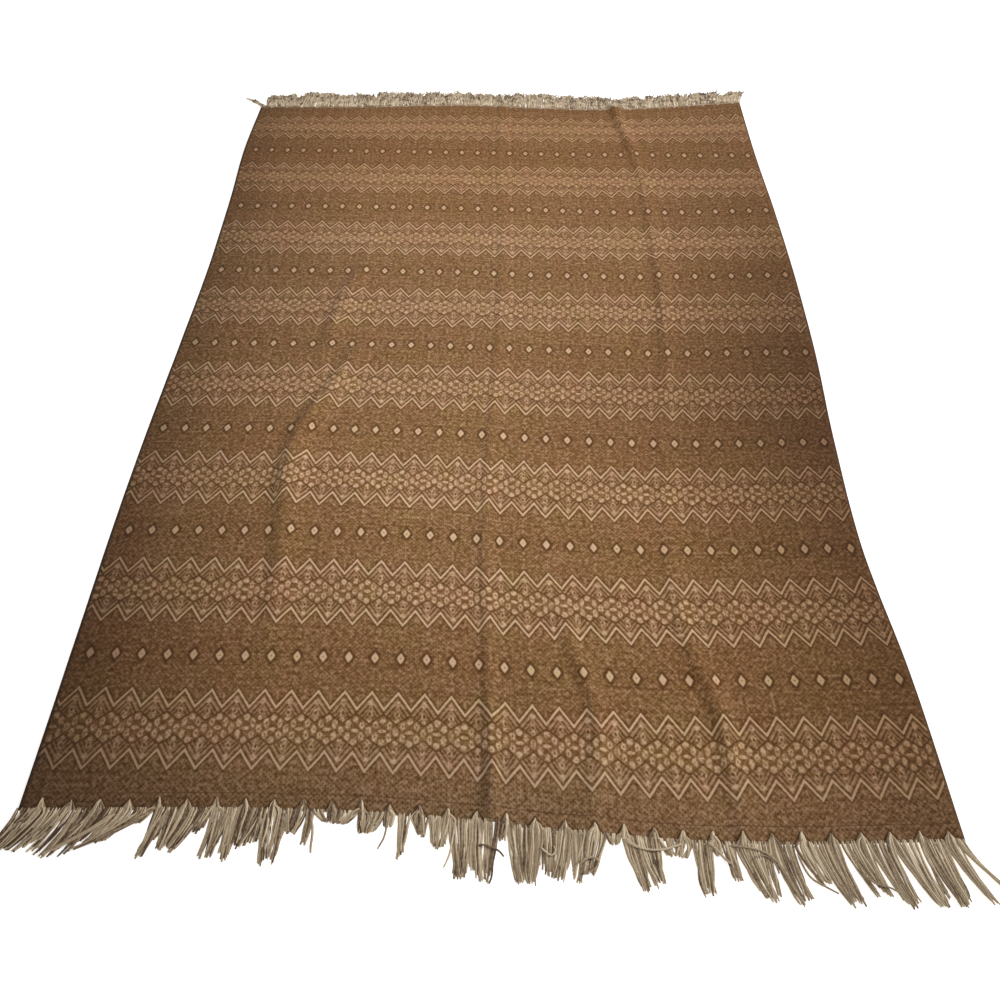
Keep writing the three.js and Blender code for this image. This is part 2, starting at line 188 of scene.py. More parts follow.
# Cells of the band's flowers: their middles, off the zigzag's peaks or valleys and up from the
# band's middle, their half widths and heights, and how light they are. Only some petals have an eye.
LIGHT_CELLS = [
    {"name": "top petal", "axis": "valley", "off": 0, "up": 20.6, "wide": 5.4, "high": 6.2, "tone": 0.76},
    {"name": "side petal", "axis": "valley", "off": 11.8, "up": 10.9, "wide": 4.8, "high": 8.6, "tone": 0.72},
    {"name": "bow", "axis": "valley", "off": 0, "up": 0, "wide": 7.0, "high": 3.6, "tone": 0.76},
    {"name": "waist diamond", "axis": "peak", "off": 0, "up": 0, "wide": 5.2, "high": 8.4, "tone": 0.68},
    {"name": "low bead", "axis": "peak", "off": 0, "up": 20.5, "wide": 4.4, "high": 5.4, "tone": 0.64},
    {"name": "ring", "axis": "peak", "off": 0, "up": 33, "wide": 5.6, "high": 7.6, "tone": 0.6},
    {"name": "peak bead", "axis": "peak", "off": 0, "up": 52, "wide": 4.8, "high": 5.8, "tone": 0.74},
]
DARK_EYES = [
    {"name": "ring eye", "axis": "peak", "off": 0, "up": 32, "wide": 2.1, "high": 2.8, "tone": 0.14},
    {"name": "shoulder eye", "axis": "peak", "off": 11.4, "up": 34.5, "wide": 1.7, "high": 2.8, "tone": 0.1},
    {"name": "waist eye", "axis": "peak", "off": 0, "up": 0, "wide": 1.2, "high": 1.6, "tone": 0.5},
]
PETAL_EYE = {
    "name": "petal eye", "axis": "valley", "off": 11.8, "up": 10.9, "wide": 1.5, "high": 2.0,
    "tone": 0.36,
}
FAINT_DOTS = [
    {"name": "dot past a peak", "axis": "peak", "off": 0, "up": 88, "wide": 2.0, "high": 3.0, "tone": 0.7},
    {"name": "second dot", "axis": "peak", "off": 0, "up": 101, "wide": 1.8, "high": 2.6, "tone": 0.62},
    {"name": "diamond dot", "axis": "peak", "off": 0, "up": 118, "wide": 2.2, "high": 2.6, "tone": 0.68},
    {"name": "notch dot", "axis": "valley", "off": 0, "up": 60.5, "wide": 2.2, "high": 4.6, "tone": 0.66},
]

# The photograph's camera, measured from the middle of the cloth.
CAMERA = {"x": 19.16, "y": -1756.2, "z": 1518.2}
CAMERA_TURN = {"pitch": 0.865627523, "yaw": 0.0077570262, "roll": 0.0080706703}
FOCAL_PIXELS = 980
PHOTO_PIXELS = 1000
SENSOR_WIDTH = 36

# The lights and the floor, in metres: a broad light low at the right, and soft pools overhead.
FLOOR_DROP = 0.0004
KEY_PLACE = (8.2, 0.8, 4.2)
KEY_SIZE = 3.2
POOL_HEIGHT = 2.7
POOL_SOFTNESS = 0.3
POOLS = [
    {"name": "near_pool", "x": 0.0, "y": -0.75, "angle": 44, "share": 0.9},
    {"name": "middle_pool", "x": -0.2, "y": 0.0, "angle": 44, "share": 0.9},
    {"name": "far_pool", "x": 0.1, "y": 1.0, "angle": 50, "share": 1.05},
]

# Places along the cloth where a figured band ends, from the near hem to the far one.
BAND_ENDS = [-LENGTH / 2 + band * BAND_REPEAT for band in range(BANDS + 1)]

# How far each selvedge sways to the right at each of those places.
SELVEDGE_SWAYS = {
    "left": [-1, -3, -6, -4, 3, 8, 5, -4, 3],
    "right": [0, -9, -31, -26, -11, -6, -9, -17, -19],
}

# How far the weft lies ahead of a straight line there, at places given as shares of half the width.
WEFT_DRIFTS = [
    {"name": "left selvedge", "share": -1, "ahead": [13, 19, 14, 10, 6, 0, 0, 0, -34]},
    {"name": "left quarter", "share": -0.5, "ahead": [20, 18, 18, 14, 5, 2, 1, 0, -23]},
    {"name": "before the centre", "share": -0.17, "ahead": [14, 15, 12, 9, 4, 1, 0, -2, -8]},
    {"name": "past the centre", "share": 0.17, "ahead": [-8, -8, -9, -8, -6, -7, -6, -5, -21]},
    {"name": "right quarter", "share": 0.5, "ahead": [-23, -20, -19, -18, -13, -8, -11, -4, -22]},
    {"name": "right selvedge", "share": 1, "ahead": [-13, -9, -5, -4, 0, 9, 9, 0, 32]},
]

# Creases along the length: the crest's place along (v) and across (u) the cloth and its height.
LONG_FOLDS = [
    {
        "name": "centre storage crease", "left": 16, "right": 34,
        "v": [-LENGTH / 2, -1040, -900, -400, 300, LENGTH / 2],
        "u": [4, 4, -4, -2, 0, -2],
        "height": [9, 7, 5, 3.5, 3, 3],
    },
    {
        "name": "left quarter crease", "left": 32, "right": 62,
        "v": [-860, -719, -555, -431, -297, -182, -55, 30],
        "u": [-404, -402, -410, -424, -416, -380, -340, -318],
        "height": [0, 7, 10, 15, 13, 11, 6, 0],
    },
    {
        "name": "left quarter crease, far part", "left": 30, "right": 46,
        "v": [-60, 30, 147, 271, 400],
        "u": [-404, -400, -394, -362, -344],
        "height": [0, 6, 8, 6, 0],
    },
    {
        "name": "right quarter crease", "left": 24, "right": 40,
        "v": [-LENGTH / 2, -930, -760, -300, 69, 287, 480, 776, 960, LENGTH / 2],
        "u": [404, 396, 362, 372, 398, 402, 402, 398, 374, 350],
        "height": [4, 6, 5, 2.5, 5, 7, 5, 5, 8, 13],
    },
    {
        "name": "near pucker by the centre", "left": 24, "right": 40,
        "v": [-LENGTH / 2, -1040, -930, -820, -700],
        "u": [160, 176, 184, 156, 132],
        "height": [4, 6, 8, 7, 0],
    },
]

# Small creases too fine for the solids, with the same columns.
FINE_FOLDS = [
    {
        "name": "sharp edge of the centre crease", "left": 8, "right": 26,
        "v": [-LENGTH / 2, -1060, -980, -600, 200, 400],
        "u": [2, 3, 0, -3, 0, 0],
        "height": [4, 5, 3, 1.5, 1.2, 0],
    },
    {
        "name": "branch of the centre crease", "left": 16, "right": 22,
        "v": [-LENGTH / 2, -1084, -1025, -966, -910],
        "u": [34, 36, 38, 10, -16],
        "height": [2, 4, 4, 3, 0],
    },
    {
        "name": "swell at the right front", "left": 34, "right": 36,
        "v": [-1070, -1000, -894, -846, -780],
        "u": [392, 398, 400, 382, 360],
        "height": [0, 2.5, 4, 3.5, 0],
    },
    {
        "name": "pucker at the near hem", "left": 12, "right": 16,
        "v": [-LENGTH / 2, -1115, -1060],
        "u": [146, 138, 128],
        "height": [3, 3, 0],
    },
    {
        "name": "small crest near the centre", "left": 14, "right": 18,
        "v": [-1010, -960, -914, -880],
        "u": [132, 120, 100, 92],
        "height": [0, 2.5, 2, 0],
    },
]

# Creases across the cloth: the same, with the slopes towards the near and far ends.
CROSS_FOLDS = [
    {
        "name": "cross crease at half length", "near": 26, "far": 44,
        "u": [-700, -560, -380, -240, -120],
        "v": [-40, -42, -36, -30, -26],
        "height": [0, 4, 5, 4, 0],
    },
]

# The near fringe, a row for each lock or group of locks from left to right: where the group
# ends along the hem, how far its tips reach out from it, and how far they lean sideways.
NEAR_GROUPS = [
    {"to": -731, "reach": 82, "lean": -46, "gather": 0},
    {"to": -680, "reach": 68, "lean": -44, "gather": 0},
    {"to": -620, "reach": 72, "lean": -38, "gather": 0},
    {"to": -565, "reach": 54, "lean": -36, "gather": 0},
    {"to": -535, "reach": 22, "lean": -12},
    {"to": -512, "reach": 82, "lean": -18},
    {"to": -457, "reach": 66, "lean": -20},
    {"to": -441, "reach": 38, "lean": -10},
    {"to": -411, "reach": 80, "lean": -14},
    {"to": -392, "reach": 78, "lean": -6},
    {"to": -362, "reach": 60, "lean": -12},
    {"to": -318, "reach": 84, "lean": -3},
    {"to": -291, "reach": 38, "lean": -8},
    {"to": -278, "reach": 60, "lean": -4},
    {"to": -208, "reach": 18, "lean": -3},
    {"to": -167, "reach": 33, "lean": -5},
    {"to": -142, "reach": 22, "lean": -2},
    {"to": -123, "reach": 68, "lean": -3},
    {"to": -94, "reach": 32, "lean": 3},
    {"to": -61, "reach": 50, "lean": -2},
    {"to": -25, "reach": 94, "lean": 3},
    {"to": 15, "reach": 92, "lean": -2},
    {"to": 31, "reach": 28, "lean": -1},
    {"to": 86, "reach": 90, "lean": 0},
    {"to": 135, "reach": 75, "lean": -7},
    {"to": 156, "reach": 80, "lean": -7},
    {"to": 186, "reach": 62, "lean": -16},
    {"to": 211, "reach": 14, "lean": 0},
    {"to": 238, "reach": 84, "lean": 18},
    {"to": 268, "reach": 72, "lean": 12},
    {"to": 322, "reach": 24, "lean": 0},
    {"to": 349, "reach": 80, "lean": 3},
    {"to": 365, "reach": 22, "lean": 4},
    {"to": 387, "reach": 60, "lean": 12},
    {"to": 438, "reach": 84, "lean": 22},
    {"to": 479, "reach": 90, "lean": 25},
    {"to": 511, "reach": 64, "lean": 27},
    {"to": 552, "reach": 92, "lean": 31},
    {"to": 596, "reach": 78, "lean": 30},
    {"to": 634, "reach": 98, "lean": 30},
    {"to": 682, "reach": 95, "lean": 34},
    {"to": 717, "reach": 96, "lean": 26},
    {"to": 736, "reach": 92, "lean": 42},
    {"to": WIDTH / 2, "reach": 88, "lean": 58},
]

# The far fringe is shorter, brushier and more even.
FAR_GROUPS = [
    {"to": -736, "reach": 40, "lean": -48},
    {"to": -640, "reach": 72, "lean": -6},
    {"to": -520, "reach": 84, "lean": 6},
    {"to": -400, "reach": 78, "lean": -5},
    {"to": -250, "reach": 86, "lean": 4},
    {"to": -90, "reach": 80, "lean": -4},
    {"to": 30, "reach": 76, "lean": 5},
    {"to": 180, "reach": 88, "lean": -3},
    {"to": 320, "reach": 76, "lean": 6},
    {"to": 450, "reach": 66, "lean": -5},
    {"to": 560, "reach": 72, "lean": 7},
    {"to": 680, "reach": 70, "lean": 12},
    {"to": WIDTH / 2, "reach": 64, "lean": 30},
]

# How locks lie: how far they gather towards their group, how uneven their length is, how late
# they bend, how wide the tips part, how much and how sharply loose yarns stray, and up to which
# share of the width the gaps between groups are filled. The seed sets the chance in its yarns.
NEAR_HABIT = {
    "gather": 0.5, "raggedness": 6, "bend": 1.35, "tips": 0.45,
    "wander": 0.7, "waviness": 26.0, "filled": 0.24, "seed": 11,
}
FAR_HABIT = {
    "gather": 0.12, "raggedness": 10, "bend": 1.2, "tips": 1.2,
    "wander": 2.2, "waviness": 55.0, "filled": 0.5, "seed": 23,
}

# Yarns that leave their lock: places along the hem and out from it, and their height over the floor.
NEAR_STRAYS = [
    {
        "name": "lock swept to the left", "yarns": 8, "opening": 0.9, "height": 3.5,
        "u": [-552, -572, -606, -650],
        "out": [6, 22, 44, 66],
    },
    {
        "name": "shorter lock swept to the left", "yarns": 7, "opening": 0.8, "height": 4,
        "u": [-534, -550, -578, -614],
        "out": [3, 15, 32, 52],
    },
    {
        "name": "longer lock swept to the left", "yarns": 8, "opening": 0.9, "height": 3.5,
        "u": [-596, -616, -650, -690],
        "out": [8, 26, 48, 70],
    },
    {
        "name": "lone yarn left of the gap", "yarns": 1, "height": 3,
        "u": [-350, -350, -352, -352],
        "out": [12, 32, 51, 68],
    },
    {
        "name": "lone yarn by it", "yarns": 1, "height": 3,
        "u": [-278, -275, -276, -276],
        "out": [16, 33, 53, 67],
    },
    {
        "name": "curled lone yarn", "yarns": 1, "height": 3,
        "u": [-161, -160, -164, -176],
        "out": [-4, 18, 40, 61],
    },
    {
        "name": "lone yarn at the long locks", "yarns": 1, "height": 3,
        "u": [-51, -55, -61, -68],
        "out": [8, 34, 60, 81],
    },
    {
        "name": "yarn across the long locks", "yarns": 1, "height": 6,
        "u": [-15, -4, 8, 22, 32],
        "out": [38, 36, 39, 44, 57],
    },
    {
        "name": "hook", "yarns": 1, "height": 6,
        "u": [83, 91, 100, 106, 100],
        "out": [30, 37, 41, 31, 20],
    },
    {
        "name": "loop over the lock tips", "yarns": 1, "height": 6,
        "u": [143, 152, 165, 172, 164, 148],
        "out": [52, 42, 38, 45, 57, 64],
    },
    {
        "name": "yarns folded over to the right", "yarns": 2, "height": 7,
        "u": [211, 222, 241, 265, 288, 307],
        "out": [-2, 10, 17, 18, 11, 2],
    },
    {
        "name": "yarns swept along the hem", "yarns": 3, "height": 6,
        "u": [366, 386, 412, 436, 451, 463, 474],
        "out": [1, 5, 8, 16, 35, 60, 81],
    },
    {
        "name": "crossing yarn at the right", "yarns": 1, "height": 7,
        "u": [343, 356, 372, 389],
        "out": [-4, 11, 28, 38],
    },
    {
        "name": "slack loop", "yarns": 1, "height": 6,
        "u": [409, 420, 435, 446, 450],
        "out": [29, 19, 21, 32, 50],
    },
    {
        "name": "yarn crossing a gap", "yarns": 1, "height": 5,
        "u": [479, 487, 497, 516, 536],
        "out": [14, 36, 54, 66, 77],
    },
    {
        "name": "second yarn crossing a gap", "yarns": 1, "height": 5,
        "u": [571, 581, 593, 613, 626],
        "out": [35, 53, 64, 70, 79],
    },
]


def seen(red, green, blue):
    """A colour as the eye reads it, 0 to 255, turned into the linear values that materials use."""
    shares = [channel / 255 for channel in (red, green, blue)]
    return [s / 12.92 if s <= 0.04045 else ((s + 0.055) / 1.055) ** 2.4 for s in shares]


# How the cloth lies


def smooth_between(places, values, at):
    """Cubic curve through values, one row of them for each place, read at an array of places."""
    places = np.asarray(places, float)
    values = np.asarray(values, float)
    at = np.clip(at, places[0], places[-1])
    end = np.clip(np.searchsorted(places, at, side="right"), 1, len(places) - 1)
    start = end - 1
    before = np.maximum(start - 1, 0)
    beyond = np.minimum(end + 1, len(places) - 1)

    def value(row):
        return values[row] if values.ndim == 1 else values[row, np.arange(len(at))]

    span = places[end] - places[start]
    start_slope = (value(end) - value(before)) / (places[end] - places[before])
    end_slope = (value(beyond) - value(start)) / (places[beyond] - places[start])
    t = (at - places[start]) / span
    t2, t3 = t * t, t * t * t
    return (
        (2 * t3 - 3 * t2 + 1) * value(start)
        + (t3 - 2 * t2 + t) * span * start_slope
        + (3 * t2 - 2 * t3) * value(end)
        + (t3 - t2) * span * end_slope
    )


def slope(distance, width):
    """A crease's cross-section: full height at the crest, level past its slopes."""
    share = np.minimum(np.abs(distance) / width, 1)
    return (0.5 + 0.5 * np.cos(np.pi * share)) ** CREASE_SHARPNESS


def lift_at(u, v):
    """Height of the cloth's underside over the floor, in millimetres."""
    lift = np.zeros_like(u)
    for fold in LONG_FOLDS + FINE_FOLDS:
        distance = u - smooth_between(fold["v"], fold["u"], v)
        width = np.where(distance < 0, fold["left"], fold["right"])
        lift += np.maximum(smooth_between(fold["v"], fold["height"], v), 0) * slope(distance, width)
    for fold in CROSS_FOLDS:
        distance = v - smooth_between(fold["u"], fold["v"], u)
        width = np.where(distance < 0, fold["near"], fold["far"])
        lift += np.maximum(smooth_between(fold["u"], fold["height"], u), 0) * slope(distance, width)
    return lift


def lay(u, v):
    """Where places on the cloth lie: points on its underside, in millimetres."""
    u, v = np.asarray(u, float), np.asarray(v, float)
    share = u / WIDTH + 0.5
    sway = smooth_between(BAND_ENDS, SELVEDGE_SWAYS["left"], v) * (1 - share)
    sway += smooth_between(BAND_ENDS, SELVEDGE_SWAYS["right"], v) * share
    drifts = [smooth_between(BAND_ENDS, place["ahead"], v) for place in WEFT_DRIFTS]
    drift = smooth_between([place["share"] for place in WEFT_DRIFTS], drifts, u / (WIDTH / 2))
    x = CLOTH_CENTRE["x"] + u + sway
    y = CLOTH_CENTRE["y"] + v + drift
    return np.stack([x, y, lift_at(u, v)], axis=-1)


def ripples(u, v, height):
    """Low soft unevenness of cloth that has been folded, never below zero, in millimetres."""
    random = np.random.default_rng(RIPPLE_SEED)
    total = np.zeros_like(u)
    for _ in range(RIPPLE_WAVES):
        wavelength = random.uniform(SHORTEST_RIPPLE, LONGEST_RIPPLE)
        turn = random.uniform(0, math.pi)
        phase = random.uniform(0, 2 * math.pi)
        along = (u * math.cos(turn) + v * math.sin(turn)) * 2 * math.pi / wavelength
        total += np.sin(along + phase) * (wavelength / LONGEST_RIPPLE) ** RIPPLE_FALLOFF
    total /= np.abs(total).max()
    return height * (0.5 + 0.5 * total)


# Materials


class Amount:
    """A number that varies over a surface, worked out by Math nodes as it is written."""

    def __init__(self, tree, socket):
        self.tree = tree
        self.socket = socket

    def reckon(self, operation, *others, clamp=False):
        node = self.tree.nodes.new("ShaderNodeMath")
        node.operation = operation
        node.use_clamp = clamp
        for slot, value in zip(node.inputs, (self, *others)):
            if isinstance(value, Amount):
                self.tree.links.new(value.socket, slot)
            else:
                slot.default_value = value
        return Amount(self.tree, node.outputs[0])

    def __add__(self, other):
        return self.reckon("ADD", other)

    def __sub__(self, other):
        return self.reckon("SUBTRACT", other)

    def __rsub__(self, other):
        return self.reckon("MULTIPLY_ADD", -1, other)

    def __mul__(self, other):
        return self.reckon("MULTIPLY", other)

    def __truediv__(self, other):
        return self.reckon("DIVIDE", other)

    def __abs__(self):
        return self.reckon("ABSOLUTE")

    __radd__ = __add__
    __rmul__ = __mul__

    def floor(self):
        return self.reckon("FLOOR")

    def sine(self):
        return self.reckon("SINE")

    def wrapped(self, size):
        return self.reckon("FLOORED_MODULO", size)

    def least(self, other):
        return self.reckon("MINIMUM", other)

    def most(self, other):
        return self.reckon("MAXIMUM", other)

    def clamped(self):
        return self.reckon("ADD", 0, clamp=True)

    def within(self, half, soft=SOFT_EDGE):
        """1 where this distance is under half, 0 beyond it, with a soft edge."""
        return self.reckon("MULTIPLY_ADD", -1 / soft, half / soft + 0.5, clamp=True)

    def above(self, level, soft=SOFT_EDGE):
        """1 where this is over the level, 0 under it, with a soft edge."""
        return self.reckon("MULTIPLY_ADD", 1 / soft, 0.5 - level / soft, clamp=True)

    def covered(self, mask, value):
        """This, with the value laid over it where the mask is 1."""
        return mask.reckon("MULTIPLY_ADD", value - self, self)


def new_material(name):
    """An empty node material with its shader, ready to be wired."""
    material = bpy.data.materials.new(name)
    material.use_nodes = True
    tree = material.node_tree
    tree.nodes.clear()
    output = tree.nodes.new("ShaderNodeOutputMaterial")
    shader = tree.nodes.new("ShaderNodeBsdfPrincipled")
    tree.links.new(shader.outputs["BSDF"], output.inputs["Surface"])
    return material, tree, shader


def joined(tree, x, y):
    """A vector made of two numbers."""
    node = tree.nodes.new("ShaderNodeCombineXYZ")
    tree.links.new(x.socket, node.inputs["X"])
    tree.links.new(y.socket, node.inputs["Y"])
    return node.outputs["Vector"]


def parted(tree, vector):
    """The first two numbers of a vector."""
    node = tree.nodes.new("ShaderNodeSeparateXYZ")
    tree.links.new(vector, node.inputs["Vector"])
    return Amount(tree, node.outputs["X"]), Amount(tree, node.outputs["Y"])


def noise_amount(tree, vector, scale, detail=2.0):
    """Even cloudy noise from 0 to 1."""
    node = tree.nodes.new("ShaderNodeTexNoise")
    node.inputs["Scale"].default_value = scale
    node.inputs["Detail"].default_value = detail
    tree.links.new(vector, node.inputs["Vector"])
    return Amount(tree, node.outputs["Fac"])


def chance_amount(tree, x, y):
    """A random number from 0 to 1 for each pair of whole numbers."""
    node = tree.nodes.new("ShaderNodeTexWhiteNoise")
    node.noise_dimensions = "2D"
    tree.links.new(joined(tree, x, y), node.inputs["Vector"])
    return Amount(tree, node.outputs["Value"])


def ramp_colour(tree, amount, stops):
    """A colour read from named stops by a number."""
    node = tree.nodes.new("ShaderNodeValToRGB")
    ramp = node.color_ramp
    while len(ramp.elements) < len(stops):
        ramp.elements.new(1.0)
    for element, (place, colour) in zip(ramp.elements, stops):
        element.position = place
        element.color = (*colour, 1)
    tree.links.new(amount.socket, node.inputs["Fac"])
    return node.outputs["Color"]


def layered(tree, colour, layers):
    """A colour with others laid over it in order, each by its mask, mixed in or as a tint."""
    for mask, above, blend in layers:
        node = tree.nodes.new("ShaderNodeMix")
        node.data_type = "RGBA"
        node.blend_type = blend
        sockets = {socket.identifier: socket for socket in node.inputs}
        tree.links.new(mask.socket, sockets["Factor_Float"])
        tree.links.new(colour, sockets["A_Color"])
        if isinstance(above, bpy.types.NodeSocket):
            tree.links.new(above, sockets["B_Color"])
        else:
            sockets["B_Color"].default_value = (*above, 1)
        colour = next(socket for socket in node.outputs if socket.identifier == "Result_Color")
    return colour


def woolly(tree, shader, colour, height, finish):
    """Gives a shader its colour, its relief and a dull, slightly fuzzy finish."""
    tree.links.new(colour, shader.inputs["Base Color"])
    bump = tree.nodes.new("ShaderNodeBump")
    bump.inputs["Strength"].default_value = finish["relief"]
    bump.inputs["Distance"].default_value = finish["depth"]
    tree.links.new(height.socket, bump.inputs["Height"])
    tree.links.new(bump.outputs["Normal"], shader.inputs["Normal"])
    shader.inputs["Roughness"].default_value = finish["roughness"]
    shader.inputs["Specular IOR Level"].default_value = 0.2
    shader.inputs["Sheen Weight"].default_value = finish["sheen"]
    shader.inputs["Sheen Roughness"].default_value = 0.6


def cell(across, along, wide, high):
    """Distance to the middle of a stepped, eight-sided cell: 1 on its rim."""
    p, q = abs(across) / wide, abs(along) / high
    return ((p + q) * 0.7).most(p.most(q))


def from_diamond(x):
    """Distance across to the nearest column of diamonds, where the zigzags peak."""
    half = PATTERN_REPEAT / 2
    return abs((x + (WIDTH / 2 - FIRST_DIAMOND + half)).wrapped(PATTERN_REPEAT) - half)


def drawn(tone, distance, line, shown=None):
    """A tone with a line of the figure laid over it, as far as it shows."""
    mask = distance.within(line["half"], line["soft"])
    return tone.covered(mask if shown is None else mask * shown, line["tone"])


def weave_tone(x, y, speckle, chance, felted):
    """How light the weave's figure is at a place, from 0, dark brown, to 1, cream."""
    half = PATTERN_REPEAT / 2
    peak = from_diamond(x)
    valley = half - peak
    middle = abs((y + LENGTH / 2).wrapped(BAND_REPEAT) - BAND_REPEAT / 2)
    row = BAND_REPEAT / 2 - middle
    fall = (ZIGZAG_PEAK - ZIGZAG_VALLEY) / half
    zigzag = (middle + peak * fall - ZIGZAG_PEAK) / math.hypot(1, fall)
    lattice = (middle - LATTICE_FOOT - peak * LATTICE_RISE) / math.hypot(1, LATTICE_RISE)
    crisp = 1 - felted

    def reach(item):
        across = (peak if item["axis"] == "peak" else valley) - item["off"]
        return cell(across, middle - item["up"], item["wide"], item["high"])

    def ground(field):
        return speckle * field["speckle"] + field["tone"] + felted * field["felted"]

    tone = speckle * FIELD["speckle"] + FIELD["tone"]
    band = zigzag.reckon("MULTIPLY", -1).above(BAND_STARTS_IN)
    outer = lattice.above(LATTICE_STARTS_OUT) * band
    tone = tone.covered(band, ground(BAND_FIELD))
    tone = tone.covered(outer, ground(BORDER_FIELD))
    for line in CHEVRONS:
        tone = drawn(tone, abs(zigzag + line["inward"]), {**line, "soft": SOFT_EDGE}, outer)
    for item in LIGHT_CELLS:
        shade = item["tone"] - CELL_SHADE + speckle * CELL_SPECKLE
        tone = tone.covered(reach(item).within(*CELL_EDGE) * crisp, shade)
    tone = drawn(tone, abs(lattice), LATTICE_LINE, band)
    for item in DARK_EYES:
        tone = tone.covered(reach(item).within(*EYE_EDGE), item["tone"])
    petal_eye = reach(PETAL_EYE).within(*EYE_EDGE) * chance.above(0.35, 0.1)
    tone = tone.covered(petal_eye, PETAL_EYE["tone"])

    for item in FAINT_DOTS:
        tone = tone.covered(reach(item).within(*DOT_EDGE) * (1 - speckle * 0.5), item["tone"])
    tone = drawn(tone, abs(zigzag), ZIGZAG_RIM)
    tone = drawn(tone, abs(zigzag), ZIGZAG_LINE, 1 - felted * 0.4)
    tone = drawn(tone, abs(row - ROW_LINE["off"]), ROW_LINE, 0.5)
    diamond = (peak / DIAMOND["wide"]).reckon("POWER", DIAMOND["bulge"])
    diamond = diamond + (row / DIAMOND["high"]).reckon("POWER", DIAMOND["bulge"])
    tone = drawn(tone, diamond, DIAMOND_RIM)
    tone = drawn(tone, diamond, DIAMOND, 1 - felted * 0.3)
    eye = cell(peak, row, DIAMOND_EYE["wide"], DIAMOND_EYE["high"])
    tone = drawn(tone, eye, DIAMOND_EYE, chance.above(0.4, 0.1))
    return drawn(tone, WIDTH / 2 - abs(x), SELVEDGE_LINE)


def patch_layers(tree, flat, settings):
    """Reddish and olive patches, broad ones and small ones."""
    layers = []
    for patch in PATCHES:
        cloud = noise_amount(tree, flat, 1 / patch["size"], 3)
        red = (cloud - 0.5).above(patch["red_from"], patch["soft"]) * patch["red"]
        olive = (patch["olive_below"] - cloud).above(0.01, patch["soft"]) * patch["olive"]
        layers += [(red, settings.red_cast, "MULTIPLY"), (olive, settings.olive_cast, "MULTIPLY")]
    return layers


def dust_and_shade_layers(across, along, speckle, settings):
    """Warmer far and right parts, a paler dusty near hem, and painted shade along the edges, at the near left
    and on the middle of the right side.
    """
    from_side = WIDTH / 2 - abs(across)
    from_near = LENGTH / 2 + along
    warm = (along / (0.2 * LENGTH) - 0.75).most(across * (1.6 / WIDTH)).clamped()
    fading = along.reckon("MULTIPLY_ADD", -0.75 / LENGTH, 0.72, clamp=True)
    # Painted shade along the selvedges, fading towards the far end.
    side = from_side.within(*SIDE_SHADE) * fading * settings.edge_shade
    dusty = from_near.within(*DUST_REACH) * (0.36 - abs(across) * (0.4 / WIDTH)) * speckle
    # Painted shade towards the near left corner and on the middle of the right side.
    near_left_shade = (across / -WIDTH - along / (LENGTH / 1.5) - 0.45).clamped()
    mid_right_shade = (across / (WIDTH / 2) - abs(along / LENGTH + 0.08) * 3).clamped() * 0.9
    # Painted shade along the selvedges and the near hem, strongest on the left and none on the right.
    rim = from_side.least(from_near).within(*RIM_SHADE) * (0.3 - across * (0.6 / WIDTH))
    return [
        (warm, settings.warm_cast, "MULTIPLY"),
        (side, settings.painted_shade_tint, "MULTIPLY"),
        (dusty, settings.dust, "MIX"),
        (near_left_shade.most(mid_right_shade), settings.painted_shade_tint, "MULTIPLY"),
        (rim, settings.painted_shade_tint, "MULTIPLY"),
    ]


def hem_layers(tree, x, y, worn, settings):
    """A dark line by each hem, cream teeth where the warp leaves it, and the far hem's own warp."""
    hem = LENGTH / 2 - abs(y)
    tooth = from_diamond(x) / TOOTH_HALF_WIDTH + hem / TOOTH_HEIGHT
    yarns = (x * (TURN / WARP_YARN_PITCH)).sine() * 0.35 + worn * 0.5 + 0.35
    cream = ramp_colour(tree, yarns.clamped(), [(0.1, settings.tan_yarn), (0.9, settings.fringe_yarn)])
    return [
        (abs(hem - HEM_LINE_PLACE).within(1.0) * 0.7, settings.dark_yarn, "MIX"),
        (tooth.within(1.35, 0.15) * 0.75, settings.dark_yarn, "MIX"),
        (tooth.within(1.0, 0.12), cream, "MIX"),
        (hem.within(3.0, 2.0) * 0.4, cream, "MIX"),
        ((LENGTH / 2 - y).within(7.0, 4.0) * 0.85, settings.far_warp, "MIX"),
    ]


